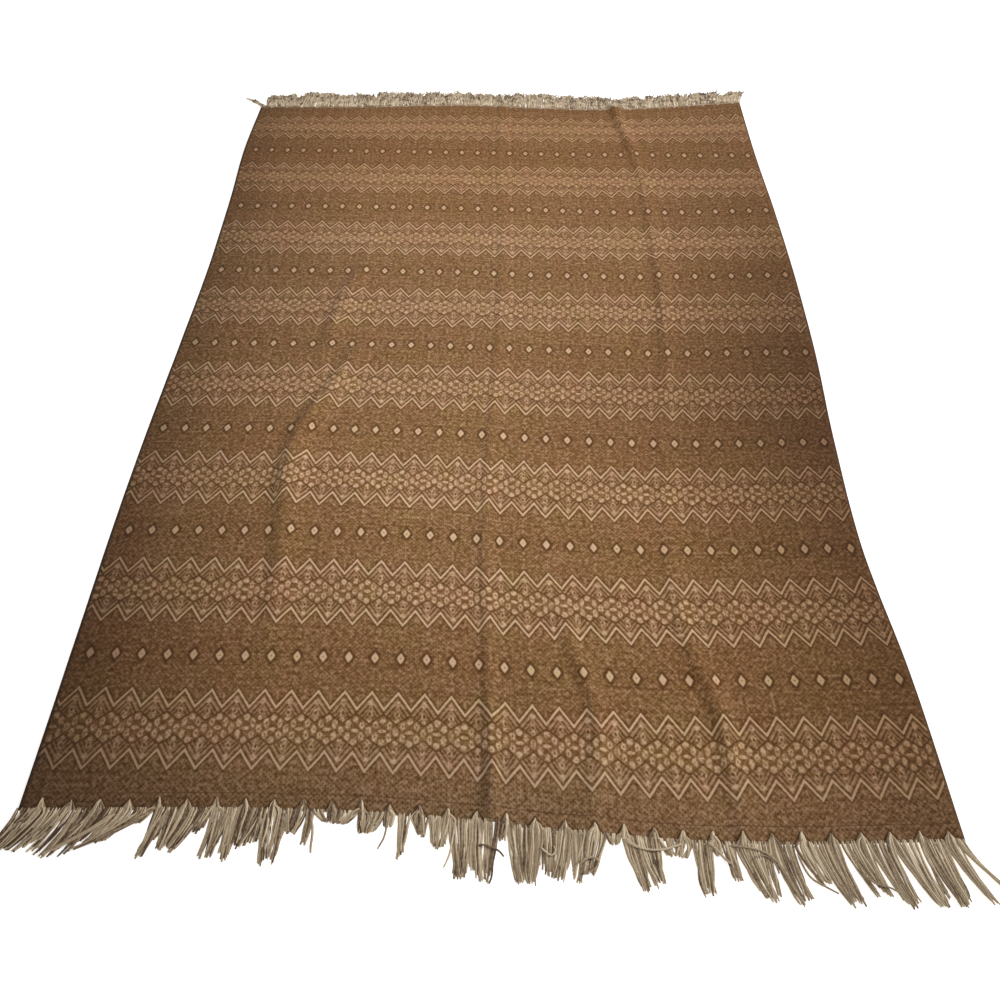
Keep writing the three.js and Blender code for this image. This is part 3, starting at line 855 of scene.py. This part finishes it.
def woven_wool(settings):
    """Material of the cloth: its charted weave, heathered threads and nap."""
    material, tree, shader = new_material("woven_wool")
    place = tree.nodes.new("ShaderNodeUVMap")
    place.uv_map = "cloth_map"
    across, along = ((part - 0.5) * LENGTH for part in parted(tree, place.outputs["UV"]))
    flat = joined(tree, across, along)
    x = across + (noise_amount(tree, flat, 1 / WAVER_SIZE, 1) - 0.5) * settings.unevenness
    y = along + (noise_amount(tree, flat, 1 / SWAY_SIZE, 1) - 0.5) * settings.unevenness

    end_pitch = PATTERN_REPEAT / ENDS_IN_REPEAT
    pick_pitch = BAND_REPEAT / PICKS_IN_BAND
    end = (x / end_pitch).floor()
    pick = (y / pick_pitch).floor()
    end_centre = (end + 0.5) * end_pitch
    pick_centre = (pick + 0.5) * pick_pitch

    rise = end_centre * (TURN / (BIRDSEYE_THREADS * end_pitch))
    run = pick_centre * (TURN / (BIRDSEYE_THREADS * pick_pitch))
    eyes = (rise + run).sine().most((rise - run).sine())
    heather = chance_amount(tree, end, pick)
    steps = ((end + pick) / CLUMP_THREADS).floor(), ((end - pick) / CLUMP_THREADS).floor()
    clump = chance_amount(tree, *steps)
    worn = noise_amount(tree, flat, 1 / WORN_SIZE, 2)
    speckle = eyes * SPECKLE["eyes"] + heather * SPECKLE["heather"] + clump * SPECKLE["clump"]
    speckle = (speckle + worn * SPECKLE["worn"] - SPECKLE["level"]).clamped()

    chance = chance_amount(tree, (end_centre / PATTERN_REPEAT).floor(), (pick_centre / BAND_REPEAT).floor())
    felted = (along * (0.5 / LENGTH) + 0.12).clamped()
    tone = weave_tone(end_centre, pick_centre, speckle, chance, felted)
    shots = joined(tree, across / STREAK_LENGTH, along / STREAK_BREADTH)
    parts = {"streaks": noise_amount(tree, shots, 1, 2), "heather": heather, "clump": clump, "worn": worn}
    for name, part in parts.items():
        tone = tone + (part - 0.5) * UNEVEN_TONE[name]
    yarns = (settings.dark_yarn, settings.ground_yarn, settings.tan_yarn, settings.light_yarn)
    colour = ramp_colour(tree, tone.clamped(), list(zip(YARN_TONES, yarns)))
    layers = patch_layers(tree, flat, settings) + dust_and_shade_layers(across, along, speckle, settings)
    colour = layered(tree, colour, layers + hem_layers(tree, x, y, worn, settings))

    ribs = (x * (TURN / end_pitch)).sine() * 0.5 + (y * (TURN / pick_pitch)).sine() * 0.5
    finish = {"relief": settings.relief, "depth": 0.0006, "roughness": 0.95, "sheen": 0.05}
    woolly(tree, shader, colour, ribs * NAP["ribs"] + worn * NAP["worn"], finish)
    return material


def fringe_yarn(settings):
    """Material of the fringe: cream yarn, plied, greyer towards its loose ends, partly its own tint and
    partly painted shade, with painted light and shade across the near fringe and on the far fringe's curls.
    """
    material, tree, shader = new_material("fringe_yarn")

    def attribute(name):
        node = tree.nodes.new("ShaderNodeAttribute")
        node.attribute_name = name
        return Amount(tree, node.outputs["Fac"])

    share, tint = attribute("yarn_share"), attribute("yarn_tint")
    coordinates = tree.nodes.new("ShaderNodeTexCoord").outputs["Object"]
    fuzz, blotch, curl_noise = (noise_amount(tree, coordinates, scale, 2) for scale in (170, 35, 75))
    x, y = parted(tree, coordinates)
    # 1 on the far fringe and 0 on the near one; it keeps the painted side light and shade to the near fringe
    # and the painted curl shade to the far one.
    far_side = y.above(0, 1)
    # Painted light and shade across the near fringe: darker to the left, lighter to the right.
    painted_side_light_and_shade = x * (1 - far_side) * 0.22
    # Painted shade in the grooves between the plies; the same grooves give the yarn its relief.
    grooves = (attribute("yarn_ply") + tint * 40).sine() * 0.5 + 0.5
    # Painted shade and light among the far fringe's curls, darker towards the tips.
    painted_curl_light_and_shade = far_side * (curl_noise * 1.8 - share * 0.2 - 0.7)
    # The ramp runs from yarn in painted shade, between the strands and in the ply grooves, through most of
    # the yarn to yarn in painted light; each yarn's random tint puts some yarns in that painted shade.
    tone = tint * YARN_MIX["tint"] + fuzz * YARN_MIX["fuzz"] + blotch * YARN_MIX["blotch"]
    tone = tone + grooves * YARN_MIX["grooves"] + painted_curl_light_and_shade + painted_side_light_and_shade - YARN_MIX["level"]
    stops = [(0.1, settings.shadow_yarn), (0.45, settings.mid_yarn), (0.95, settings.light_yarn)]
    # The loose ends are darkened, partly by their own greyer tint and partly by painted shade among the tips,
    # a little less on the far fringe.
    loose_end_tint_and_shade = share.above(0.45, 0.7) * (0.6 - far_side * 0.05)
    colour = ramp_colour(tree, tone.clamped(), stops)
    colour = layered(tree, colour, [(loose_end_tint_and_shade, settings.tip_tint_and_shade, "MULTIPLY")])
    finish = {"relief": 0.6, "depth": 0.0005, "roughness": 0.9, "sheen": 0.15}
    woolly(tree, shader, colour, grooves * 0.25 + fuzz * 0.5, finish)
    return material


# Shapes


def cloth_mesh(settings):
    """The woven sheet: a fine grid over and under, with its hems and selvedges rounded."""
    across = np.linspace(-WIDTH / 2, WIDTH / 2, settings.cells_across + 1)
    along = np.linspace(-LENGTH / 2, LENGTH / 2, settings.cells_along + 1)
    columns, rows = len(across), len(along)
    u, v = (grid.ravel() for grid in np.meshgrid(across, along))
    under = lay(u, v)
    under[:, 2] += ripples(u, v, settings.ripple / MM)
    over = under.copy()
    over[:, 2] += settings.thickness / MM
    rim = (np.abs(u) > WIDTH / 2 - RIM_BREADTH) | (np.abs(v) > LENGTH / 2 - RIM_BREADTH)
    over[rim, 2] -= RIM_DROP
    under[rim, 2] += RIM_LIFT
    points = np.concatenate([under, over]) * MM

    count = columns * rows
    corner = (np.arange(rows - 1)[:, None] * columns + np.arange(columns - 1)[None, :]).ravel()
    top = np.stack([corner, corner + 1, corner + columns + 1, corner + columns], axis=1) + count
    bottom = np.stack([corner, corner + columns, corner + columns + 1, corner + 1], axis=1)
    near, far = np.arange(columns), np.arange(columns) + (rows - 1) * columns
    left, right = np.arange(rows) * columns, np.arange(rows) * columns + columns - 1
    walls = []
    for line in (near, far[::-1], left[::-1], right):
        walls.append(np.stack([line[:-1], line[1:], line[1:] + count, line[:-1] + count], axis=1))
    faces = np.concatenate([top, bottom, *walls])

    mesh = bpy.data.meshes.new("blanket_cloth_woven")
    mesh.from_pydata(points.tolist(), [], faces.tolist())
    mesh.polygons.foreach_set("use_smooth", np.ones(len(faces), bool))
    flat = mesh.uv_layers.new(name="cloth_map")
    which = np.zeros(len(mesh.loops), int)
    mesh.loops.foreach_get("vertex_index", which)
    which %= count
    place = np.stack([u[which] / LENGTH + 0.5, v[which] / LENGTH + 0.5], axis=1)
    flat.data.foreach_set("uv", place.ravel())
    mesh.update()
    return mesh


def scatter(index):
    """A number from -1 to 1 that looks random, always the same for the same lock."""
    wave = math.sin((index + 1) * SCATTER_STRIDE) * SCATTER_SPREAD
    return 2 * (wave - math.floor(wave)) - 1


def plan_locks(groups, habit):
    """Roots, reach and lean of every lock of a fringe, in order along its hem."""
    locks = []
    start = -WIDTH / 2
    for group in groups:
        count = max(round((group["to"] - start) / LOCK_PITCH), 1)
        pitch = (group["to"] - start) / count
        middle = (start + group["to"]) / 2
        for number in range(count):
            root = start + (number + 0.5) * pitch
            draw = (middle - root) * group.get("gather", habit["gather"])
            ragged = habit["raggedness"] * scatter(len(locks)) * min(group["reach"] / FULLY_RAGGED_REACH, 1)
            locks.append({"root": root, "reach": group["reach"] + ragged, "lean": group["lean"] + draw})
        start = group["to"]
    return locks


def plan_fillers(groups, habit):
    """Shorter locks that lie between neighbouring groups and close the gaps at their roots."""
    fillers = []
    for left, right in zip(groups, groups[1:]):
        shorter = min(left["reach"], right["reach"])
        lean = (left["lean"] + right["lean"]) / 2
        if shorter > FILLED_REACH and left["to"] < habit["filled"] * WIDTH:
            for step in (-0.5, 0.5):
                root = left["to"] + step * LOCK_PITCH
                reach = shorter * (FILLER_SHARE + FILLER_SCATTER * scatter(len(fillers)))
                fillers.append({"root": root, "reach": reach, "lean": lean})
    return fillers


def guide_lines(side, groups, habit, strays, settings):
    """Lines that the yarns follow, from inside the hem to the tips, as one mesh of edges."""
    points, edges, counts, opens = [], [], [], []

    def add(line, yarns, opened):
        start = len(points)
        points.extend(Vector(point) * MM for point in line.tolist())
        edges.extend((start + step, start + step + 1) for step in range(len(line) - 1))
        counts.extend([yarns] * len(line))
        opens.extend(opened)

    for lock in plan_locks(groups, habit) + plan_fillers(groups, habit):
        share = np.linspace(0, 1, settings.guide_steps + 1)
        from_first = lock["root"] + WIDTH / 2 - FIRST_DIAMOND
        axis = (from_first + PATTERN_REPEAT / 2) % PATTERN_REPEAT - PATTERN_REPEAT / 2
        inside = ROOT_DEPTH + TOOTH_HEIGHT * max(1 - abs(axis) / TOOTH_HALF_WIDTH, 0) * (side < 0)
        out = (lock["reach"] + inside) * share - inside
        hem = lay([lock["root"]] * len(out), [side * LENGTH / 2] * len(out))
        pulled = np.clip(-out / inside, 0, 1) * (inside > ROOT_DEPTH)
        lean = lock["lean"] * np.maximum(out / lock["reach"], 0) ** habit["bend"]
        settled = np.clip(out / SETTLED_AT, 0, 1)
        on_cloth = np.clip(-(out + CLOTH_GAP) / CLOTH_CLIMB, 0, 1)
        z = hem[:, 2] * (1 - settled) ** 2 + LOCK_HEIGHT + HEM_RISE * (1 - settled) + CLOTH_RISE * on_cloth
        line = np.stack([hem[:, 0] - axis * pulled + lean, hem[:, 1] + side * out, z], axis=1)
        add(line, settings.yarns_in_lock, 1 - GATHERED_AT_TOOTH * pulled)

    for stray in strays:
        order = range(len(stray["u"]))
        steps = np.linspace(0, order[-1], settings.guide_steps + 1)
        u, out = (smooth_between(order, stray[column], steps) for column in ("u", "out"))
        hem = lay(u, np.full(len(u), side * LENGTH / 2))
        leaving = hem[:, 2] * np.clip(1 - out / SETTLED_AT, 0, 1) ** 2 + STRAY_HEIGHT
        z = np.where(out > LOOSE_FROM, stray["height"], leaving)
        line = np.stack([hem[:, 0], hem[:, 1] + side * out, z], axis=1)
        add(line, stray["yarns"], np.full(len(u), stray.get("opening", PLAIN_OPENING)))

    mesh = bpy.data.meshes.new("fringe_guides")
    mesh.from_pydata(points, edges, [])
    mesh.attributes.new("yarn_count", "INT", "POINT").data.foreach_set("value", counts)
    mesh.attributes.new("yarn_opening", "FLOAT", "POINT").data.foreach_set("value", opens)
    return mesh


class Wiring:
    """Adds nodes to a geometry tree and joins them, a value or a socket for each input."""

    def __init__(self, tree):
        self.tree = tree

    def add(self, kind, inputs=None, **settings):
        node = self.tree.nodes.new(kind)
        for name, value in settings.items():
            setattr(node, name, value)
        for key, value in (inputs or {}).items():
            socket = node.inputs[key]
            if isinstance(value, bpy.types.NodeSocket):
                self.tree.links.new(value, socket)
            else:
                socket.default_value = value
        return node

    def math(self, operation, first, second=0.0, third=0.0):
        inputs = {0: first, 1: second, 2: third}
        return self.add("ShaderNodeMath", inputs, operation=operation).outputs[0]


def fringe_tree():
    """Geometry tree that turns each lock's guide line into a bundle of loose yarns."""
    tree = bpy.data.node_groups.new("loose_yarns", "GeometryNodeTree")
    face = tree.interface
    face.new_socket("Guides", in_out="INPUT", socket_type="NodeSocketGeometry")
    wanted = (
        ("Yarn radius", "NodeSocketFloat"),
        ("Steps", "NodeSocketInt"),
        ("Sides", "NodeSocketInt"),
        ("Spread", "NodeSocketFloat"),
        ("Tip spread", "NodeSocketFloat"),
        ("Stacking", "NodeSocketFloat"),
        ("Wander", "NodeSocketFloat"),
        ("Wander scale", "NodeSocketFloat"),
        ("Shortest share", "NodeSocketFloat"),
        ("Ply length", "NodeSocketFloat"),
        ("Seed", "NodeSocketInt"),
        ("Yarn material", "NodeSocketMaterial"),
    )
    for name, kind in wanted:
        face.new_socket(name, in_out="INPUT", socket_type=kind)
    face.new_socket("Yarns", in_out="OUTPUT", socket_type="NodeSocketGeometry")
    wire = Wiring(tree)
    given = wire.add("NodeGroupInput").outputs

    def stored(geometry, name, value):
        """Keeps a number with every point, for a later step or for the material."""
        inputs = {"Geometry": geometry, "Name": name, "Value": value}
        node = wire.add("GeometryNodeStoreNamedAttribute", inputs, data_type="FLOAT", domain="POINT")
        return node.outputs["Geometry"]

    def read(name, kind="FLOAT"):
        return wire.add("GeometryNodeInputNamedAttribute", {"Name": name}, data_type=kind).outputs[0]

    def resampled(curve):
        node = wire.add("GeometryNodeResampleCurve", {"Curve": curve, "Count": given["Steps"]})
        return node.outputs["Curve"]

    guides = wire.add("GeometryNodeMeshToCurve", {"Mesh": given["Guides"]}).outputs["Curve"]
    wanted_copies = {"Geometry": resampled(guides), "Amount": read("yarn_count", "INT")}
    copies = wire.add("GeometryNodeDuplicateElements", wanted_copies, domain="SPLINE")
    parameter = wire.add("GeometryNodeSplineParameter")
    index = wire.add("GeometryNodeInputIndex").outputs[0]
    yarn = wire.add("GeometryNodeFieldOnDomain", {0: index}, domain="CURVE", data_type="INT").outputs[0]

    def chance(low, high, salt):
        seed = wire.math("ADD", given["Seed"], salt)
        inputs = {2: low, 3: high, "ID": yarn, "Seed": seed}
        return wire.add("FunctionNodeRandomValue", inputs, data_type="FLOAT").outputs[1]

    length = chance(given["Shortest share"], 1.0, 1)
    cut = wire.add("GeometryNodeTrimCurve", {"Curve": copies.outputs["Geometry"], 3: length}, mode="FACTOR")
    share = parameter.outputs["Factor"]

    place = wire.add("GeometryNodeInputPosition").outputs[0]
    parts = wire.add("ShaderNodeSeparateXYZ", {0: place}).outputs
    number = wire.math("MULTIPLY", yarn, NOISE_STEP)
    vector = wire.add("ShaderNodeCombineXYZ", {0: parts["Y"], 1: number}).outputs[0]

    def drift(salt):
        shift = {0: vector, 1: (0.0, salt, salt)}
        shifted = wire.add("ShaderNodeVectorMath", shift, operation="ADD").outputs[0]
        cloud = {"Vector": shifted, "Scale": given["Wander scale"], "Detail": 1.0}
        noise = wire.add("ShaderNodeTexNoise", cloud).outputs[0]
        return wire.math("MULTIPLY", wire.math("SUBTRACT", noise, 0.5), given["Wander"])

    side = wire.math("MULTIPLY", chance(-1.0, 1.0, 2), given["Spread"])
    tip_reach = wire.math("MULTIPLY", given["Spread"], given["Tip spread"])
    away = wire.math("MULTIPLY", chance(-1.0, 1.0, 3), tip_reach)
    narrowing = wire.math("MULTIPLY_ADD", wire.math("SUBTRACT", away, side), share, side)
    narrowing = wire.math("MULTIPLY", narrowing, read("yarn_opening"))
    across = wire.math("ADD", narrowing, wire.math("MULTIPLY", drift(SIDEWAYS_PLACE), share))
    up = wire.math("MULTIPLY", chance(0.0, 1.0, 4), given["Stacking"])
    up = wire.math("MULTIPLY", up, wire.math("MULTIPLY_ADD", share, STACK_SINKS, 1.0))
    bob = wire.math("MULTIPLY", drift(UPWARD_PLACE), BOB_SHARE)
    height = wire.math("ADD", wire.math("ADD", parts["Z"], up), wire.math("MULTIPLY", bob, share))
    lowest = wire.math("MULTIPLY", given["Yarn radius"], LOWEST_IN_RADII)
    moved = {0: wire.math("ADD", parts["X"], across), 1: parts["Y"], 2: wire.math("MAXIMUM", height, lowest)}
    moved = wire.add("ShaderNodeCombineXYZ", moved).outputs[0]
    bundle = {"Geometry": resampled(cut.outputs["Curve"]), "Position": moved}
    geometry = wire.add("GeometryNodeSetPosition", bundle).outputs["Geometry"]

    taper = wire.math("SUBTRACT", 1.0, wire.math("POWER", share, TIP_SHARPNESS))
    thick = wire.math("MULTIPLY_ADD", taper, 1 - TIP_THICKNESS, TIP_THICKNESS)
    swell = wire.math("MULTIPLY_ADD", share, ROOT_SWELL, ROOT_THICKNESS)
    thick = wire.math("MULTIPLY", thick, wire.math("MINIMUM", swell, 1.0))
    thick = wire.math("MULTIPLY", thick, chance(THINNEST, THICKEST, 5))
    kept = (
        ("yarn_share", share),
        ("yarn_tint", chance(0.0, 1.0, 6)),
        ("yarn_length", parameter.outputs["Length"]),
        ("yarn_thickness", thick),
    )
    for name, value in kept:
        geometry = stored(geometry, name, value)
    ring = {"Resolution": given["Sides"], "Radius": given["Yarn radius"]}
    circle = wire.add("GeometryNodeCurvePrimitiveCircle", ring).outputs["Curve"]
    profile = stored(circle, "yarn_round", wire.add("GeometryNodeSplineParameter").outputs["Factor"])
    sweep = {"Curve": geometry, "Profile Curve": profile, "Scale": thick, "Fill Caps": True}
    tubes = wire.add("GeometryNodeCurveToMesh", sweep).outputs["Mesh"]

    turns = wire.math("DIVIDE", read("yarn_length"), given["Ply length"])
    turns = wire.math("MULTIPLY", wire.math("ADD", turns, read("yarn_round")), TURN)
    plied = stored(tubes, "yarn_ply", turns)
    smooth = wire.add("GeometryNodeSetShadeSmooth", {"Geometry": plied}).outputs["Geometry"]
    real = wire.add("GeometryNodeRealizeInstances", {"Geometry": smooth}).outputs["Geometry"]
    done = wire.add("GeometryNodeSetMaterial", {"Geometry": real, "Material": given["Yarn material"]})
    wire.add("NodeGroupOutput", {0: done.outputs["Geometry"]})
    return tree


def yarn_piece(name, guides, tree, values):
    """Runs the yarn tree on the guide lines and returns the result as a plain mesh object."""
    maker = bpy.data.objects.new(name + "_maker", guides)
    bpy.context.scene.collection.objects.link(maker)
    modifier = maker.modifiers.new("yarns", "NODES")
    modifier.node_group = tree
    sockets = {item.name: item.identifier for item in tree.interface.items_tree if item.in_out == "INPUT"}
    for label, value in values.items():
        modifier[sockets[label]] = value
    bpy.context.view_layer.update()
    made = bpy.data.meshes.new_from_object(maker.evaluated_get(bpy.context.evaluated_depsgraph_get()))
    made.name = name
    bpy.data.objects.remove(maker)
    piece = bpy.data.objects.new(name, made)
    bpy.context.scene.collection.objects.link(piece)
    if not made.polygons:
        raise RuntimeError(name + " came out empty")
    return piece


# Settings


def length(name, description, default, **limits):
    """A length that a user can change, never below zero unless its limits say so."""
    return FloatProperty(
        name=name, description=description, default=default, unit="LENGTH", **{"min": 0, **limits}
    )


def colour(name, description, default):
    """A colour that a user can change."""
    return FloatVectorProperty(name=name, description=description, default=default, subtype="COLOR")


class BlanketClothSettings(bpy.types.PropertyGroup):
    thickness: length("Thickness", "Thickness of the woven cloth", 0.003, min=0.001, max=0.006)
    cells_across: IntProperty(
        name="Cells across", description="Grid cells across the cloth", default=196, min=20, max=400
    )
    cells_along: IntProperty(
        name="Cells along", description="Grid cells along the cloth", default=224, min=20, max=600
    )
    ripple: length("Ripple", "Height of the cloth's low soft unevenness", 0.0022)
    unevenness: FloatProperty(
        name="Weave unevenness", description="How far, in millimetres, the weave wavers", default=2.4, min=0
    )
    relief: FloatProperty(
        name="Relief", description="Strength of the threads' relief", default=0.25, subtype="FACTOR",
        min=0, max=1,
    )
    dark_yarn: colour("Dark yarn", "Outlines of the figures", seen(85, 55, 28))
    ground_yarn: colour("Ground yarn", "Plain ground", seen(126, 91, 52))
    tan_yarn: colour("Tan yarn", "Speckle of the ground", seen(163, 127, 99))
    light_yarn: colour("Light yarn", "Zigzags and diamonds", seen(206, 175, 144))
    fringe_yarn: colour("Warp yarn", "Cream warp where it shows in the hems", seen(176, 160, 130))
    red_cast: colour("Reddish cast", "Tint of the warmer patches", (1.0, 0.84, 0.74))
    # Painted shade: the tint that darkens the cloth along its selvedges and near hem, at the near left and on
    # the middle of the right side.
    painted_shade_tint: colour("Rim cast", "Tint of the handled edges", (0.66, 0.62, 0.58))
    far_warp: colour("Far warp", "Pinkish warp along the far hem", seen(204, 178, 152))
    dust: colour("Dust", "Paler wear along the near hem", seen(170, 152, 128))
    warm_cast: colour("Warm cast", "Tint of the far and right parts", (1.0, 0.93, 0.82))
    olive_cast: colour("Olive cast", "Tint of the greener patches", (0.94, 0.98, 0.72))
    edge_shade: FloatProperty(
        name="Edge shade", description="How much darker the cloth is along its selvedges", default=1.0,
        min=0, max=1,
    )


class BlanketFringeSettings(bpy.types.PropertyGroup):
    yarns_in_lock: IntProperty(
        name="Yarns in a lock", description="Loose yarns that make up one lock", default=8, min=1, max=12
    )
    yarn_radius: length("Yarn radius", "Radius of one yarn", 0.002, min=0.0003)
    spread: length("Spread", "How far a lock's yarns lie to either side", 0.0076)
    stacking: length("Stacking", "How high a lock's yarns lie on each other", 0.0035)
    wander: length("Wander", "How far a loose yarn strays by its tip", 0.018)
    shortest: FloatProperty(
        name="Shortest yarn", description="Shortest yarn as a share of its lock", default=0.84,
        subtype="FACTOR", min=0.2, max=1,
    )
    ply_length: length("Ply length", "Length of one turn of the plies", 0.009, min=0.001)
    guide_steps: IntProperty(
        name="Guide steps", description="Steps along each lock's guide line", default=10, min=3, max=40
    )
    steps: IntProperty(name="Steps", description="Points along each yarn", default=12, min=3, max=40)
    sides: IntProperty(name="Sides", description="Sides of a yarn's section", default=5, min=3, max=12)
    # The fringe's ramp: yarn in painted light, most of the yarn, and yarn in painted shade between the
    # strands and in the ply grooves.
    light_yarn: colour("Light yarn", "Yarn in the light", seen(220, 201, 170))
    mid_yarn: colour("Middle yarn", "Most of the yarn", seen(176, 153, 124))
    shadow_yarn: colour("Deep yarn", "Yarn in the grooves", seen(88, 65, 43))
    # Tint of the loose ends: partly their own greyer colour, partly painted shade among the tips.
    tip_tint_and_shade: colour("Tip cast", "Tint of the loose ends", (0.72, 0.70, 0.66))


class BlanketStageSettings(bpy.types.PropertyGroup):
    floor_colour: colour("Floor colour", "Pale plain floor", (0.86, 0.86, 0.85))
    floor_size: length("Floor size", "Side of the floor", 40.0, min=1)
    key_power: FloatProperty(
        name="Key power", description="Strength of the main light", default=600.0, min=0
    )
    pool_power: FloatProperty(
        name="Pool power", description="Strength of each pool of light", default=100.0, min=0
    )
    floor_glow: FloatProperty(
        name="Floor glow", description="Light that the pale floor gives off", default=0.65, min=0
    )
    sky_strength: FloatProperty(
        name="Surrounding light", description="Strength of the even light all round", default=0.3, min=0
    )


# Operators


class BLANKET_OT_stage(bpy.types.Operator):
    """Makes the pale floor, the soft lights and the camera"""

    bl_idname = "blanket.stage"
    bl_label = "Floor, lights and camera"

    def hang(self, context, lamp, spot, aim):
        """Places a light and turns it towards its aim."""
        holder = bpy.data.objects.new(lamp.name, lamp)
        holder.location = spot
        holder.rotation_mode = "QUATERNION"
        holder.rotation_quaternion = (aim - spot).to_track_quat("-Z", "Y")
        context.scene.collection.objects.link(holder)

    def execute(self, context):
        settings = context.scene.blanket_stage
        half = settings.floor_size / 2
        corners = [(-half, -half), (half, -half), (half, half), (-half, half)]
        mesh = bpy.data.meshes.new("floor")
        mesh.from_pydata([(x, y, -FLOOR_DROP) for x, y in corners], [], [(0, 1, 2, 3)])
        material, _, shader = new_material("pale_floor")
        shader.inputs["Base Color"].default_value = (*settings.floor_colour, 1)
        shader.inputs["Roughness"].default_value = 0.9
        shader.inputs["Emission Color"].default_value = (1, 1, 1, 1)
        shader.inputs["Emission Strength"].default_value = settings.floor_glow
        mesh.materials.append(material)
        floor = bpy.data.objects.new("floor", mesh)
        context.scene.collection.objects.link(floor)

        key = bpy.data.lights.new("key_light", "AREA")
        key.energy = settings.key_power
        key.size = KEY_SIZE
        self.hang(context, key, Vector(KEY_PLACE), Vector((0, 0, 0)))
        for pool in POOLS:
            lamp = bpy.data.lights.new(pool["name"], "SPOT")
            lamp.energy = settings.pool_power * pool["share"]
            lamp.spot_size = math.radians(pool["angle"])
            lamp.spot_blend = 1
            lamp.shadow_soft_size = POOL_SOFTNESS
            below = Vector((pool["x"], pool["y"], 0))
            self.hang(context, lamp, below + Vector((0, 0, POOL_HEIGHT)), below)

        world = bpy.data.worlds.new("soft_room")
        world.use_nodes = True
        background = world.node_tree.nodes["Background"]
        background.inputs["Color"].default_value = (1, 1, 1, 1)
        background.inputs["Strength"].default_value = settings.sky_strength
        context.scene.world = world
        context.scene.view_settings.view_transform = "Standard"

        pitch, yaw, roll = CAMERA_TURN["pitch"], CAMERA_TURN["yaw"], CAMERA_TURN["roll"]
        ahead = Vector((-math.sin(yaw) * math.cos(pitch), math.cos(yaw) * math.cos(pitch), -math.sin(pitch)))
        level = Vector((math.cos(yaw), math.sin(yaw), 0))
        upright = level.cross(ahead)
        right = math.cos(roll) * level + math.sin(roll) * upright
        top = math.cos(roll) * upright - math.sin(roll) * level
        camera = bpy.data.objects.new("camera", bpy.data.cameras.new("camera"))
        camera.data.sensor_width = SENSOR_WIDTH
        camera.data.lens = SENSOR_WIDTH * FOCAL_PIXELS / PHOTO_PIXELS
        camera.rotation_mode = "QUATERNION"
        camera.rotation_quaternion = Matrix((right, top, -ahead)).transposed().to_quaternion()
        spot = Vector((CAMERA["x"] + CLOTH_CENTRE["x"], CAMERA["y"] + CLOTH_CENTRE["y"], CAMERA["z"]))
        camera.location = spot * MM
        context.scene.collection.objects.link(camera)
        context.scene.camera = camera
        return {"FINISHED"}


class BLANKET_OT_fringes(bpy.types.Operator):
    """Makes the loose warp fringe along both hems"""

    bl_idname = "blanket.fringes"
    bl_label = "Fringes"

    def execute(self, context):
        settings = context.scene.blanket_fringe
        material = fringe_yarn(settings)
        tree = fringe_tree()
        ends = (
            ("fringe_front", -1, NEAR_GROUPS, NEAR_HABIT, NEAR_STRAYS),
            ("fringe_back", 1, FAR_GROUPS, FAR_HABIT, []),
        )
        for node, side, groups, habit, strays in ends:
            guides = guide_lines(side, groups, habit, strays, settings)
            values = {
                "Yarn radius": settings.yarn_radius,
                "Steps": settings.steps,
                "Sides": settings.sides,
                "Spread": settings.spread,
                "Tip spread": habit["tips"],
                "Stacking": settings.stacking,
                "Wander": settings.wander * habit["wander"],
                "Wander scale": habit["waviness"],
                "Shortest share": settings.shortest,
                "Ply length": settings.ply_length,
                "Seed": habit["seed"],
                "Yarn material": material,
            }
            piece = yarn_piece(node + "_yarns", guides, tree, values)
            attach(piece, "root")
            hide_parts(node)
        return {"FINISHED"}


class BLANKET_OT_cloth(bpy.types.Operator):
    """Makes the woven cloth, on the same body as the fringes"""

    bl_idname = "blanket.cloth"
    bl_label = "Woven cloth"

    def execute(self, context):
        settings = context.scene.blanket_cloth
        mesh = cloth_mesh(settings)
        mesh.materials.append(woven_wool(settings))
        cloth = bpy.data.objects.new("blanket_cloth_woven", mesh)
        context.scene.collection.objects.link(cloth)
        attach(cloth, "root")
        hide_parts("blanket_cloth")
        return {"FINISHED"}


class BLANKET_PT_panel(bpy.types.Panel):
    """Lists the operators and the settings in the 3D view's sidebar"""

    bl_label = "Blanket"
    bl_idname = "BLANKET_PT_panel"
    bl_space_type = "VIEW_3D"
    bl_region_type = "UI"
    bl_category = "Blanket"

    def draw(self, context):
        for operator in (BLANKET_OT_stage, BLANKET_OT_fringes, BLANKET_OT_cloth):
            self.layout.operator(operator.bl_idname)
        for name in ("blanket_stage", "blanket_fringe", "blanket_cloth"):
            settings = getattr(context.scene, name)
            box = self.layout.box()
            for label in settings.__annotations__:
                box.prop(settings, label)


CLASSES = (
    BlanketClothSettings,
    BlanketFringeSettings,
    BlanketStageSettings,
    BLANKET_OT_stage,
    BLANKET_OT_fringes,
    BLANKET_OT_cloth,
    BLANKET_PT_panel,
)


def register():
    for item in CLASSES:
        bpy.utils.register_class(item)
    bpy.types.Scene.blanket_cloth = PointerProperty(type=BlanketClothSettings)
    bpy.types.Scene.blanket_fringe = PointerProperty(type=BlanketFringeSettings)
    bpy.types.Scene.blanket_stage = PointerProperty(type=BlanketStageSettings)


def unregister():
    del bpy.types.Scene.blanket_stage
    del bpy.types.Scene.blanket_fringe
    del bpy.types.Scene.blanket_cloth
    for item in reversed(CLASSES):
        bpy.utils.unregister_class(item)


def main():
    register()
    bpy.ops.blanket.stage()
    bpy.ops.blanket.fringes()
    bpy.ops.blanket.cloth()


if __name__ == "__main__":
    main()
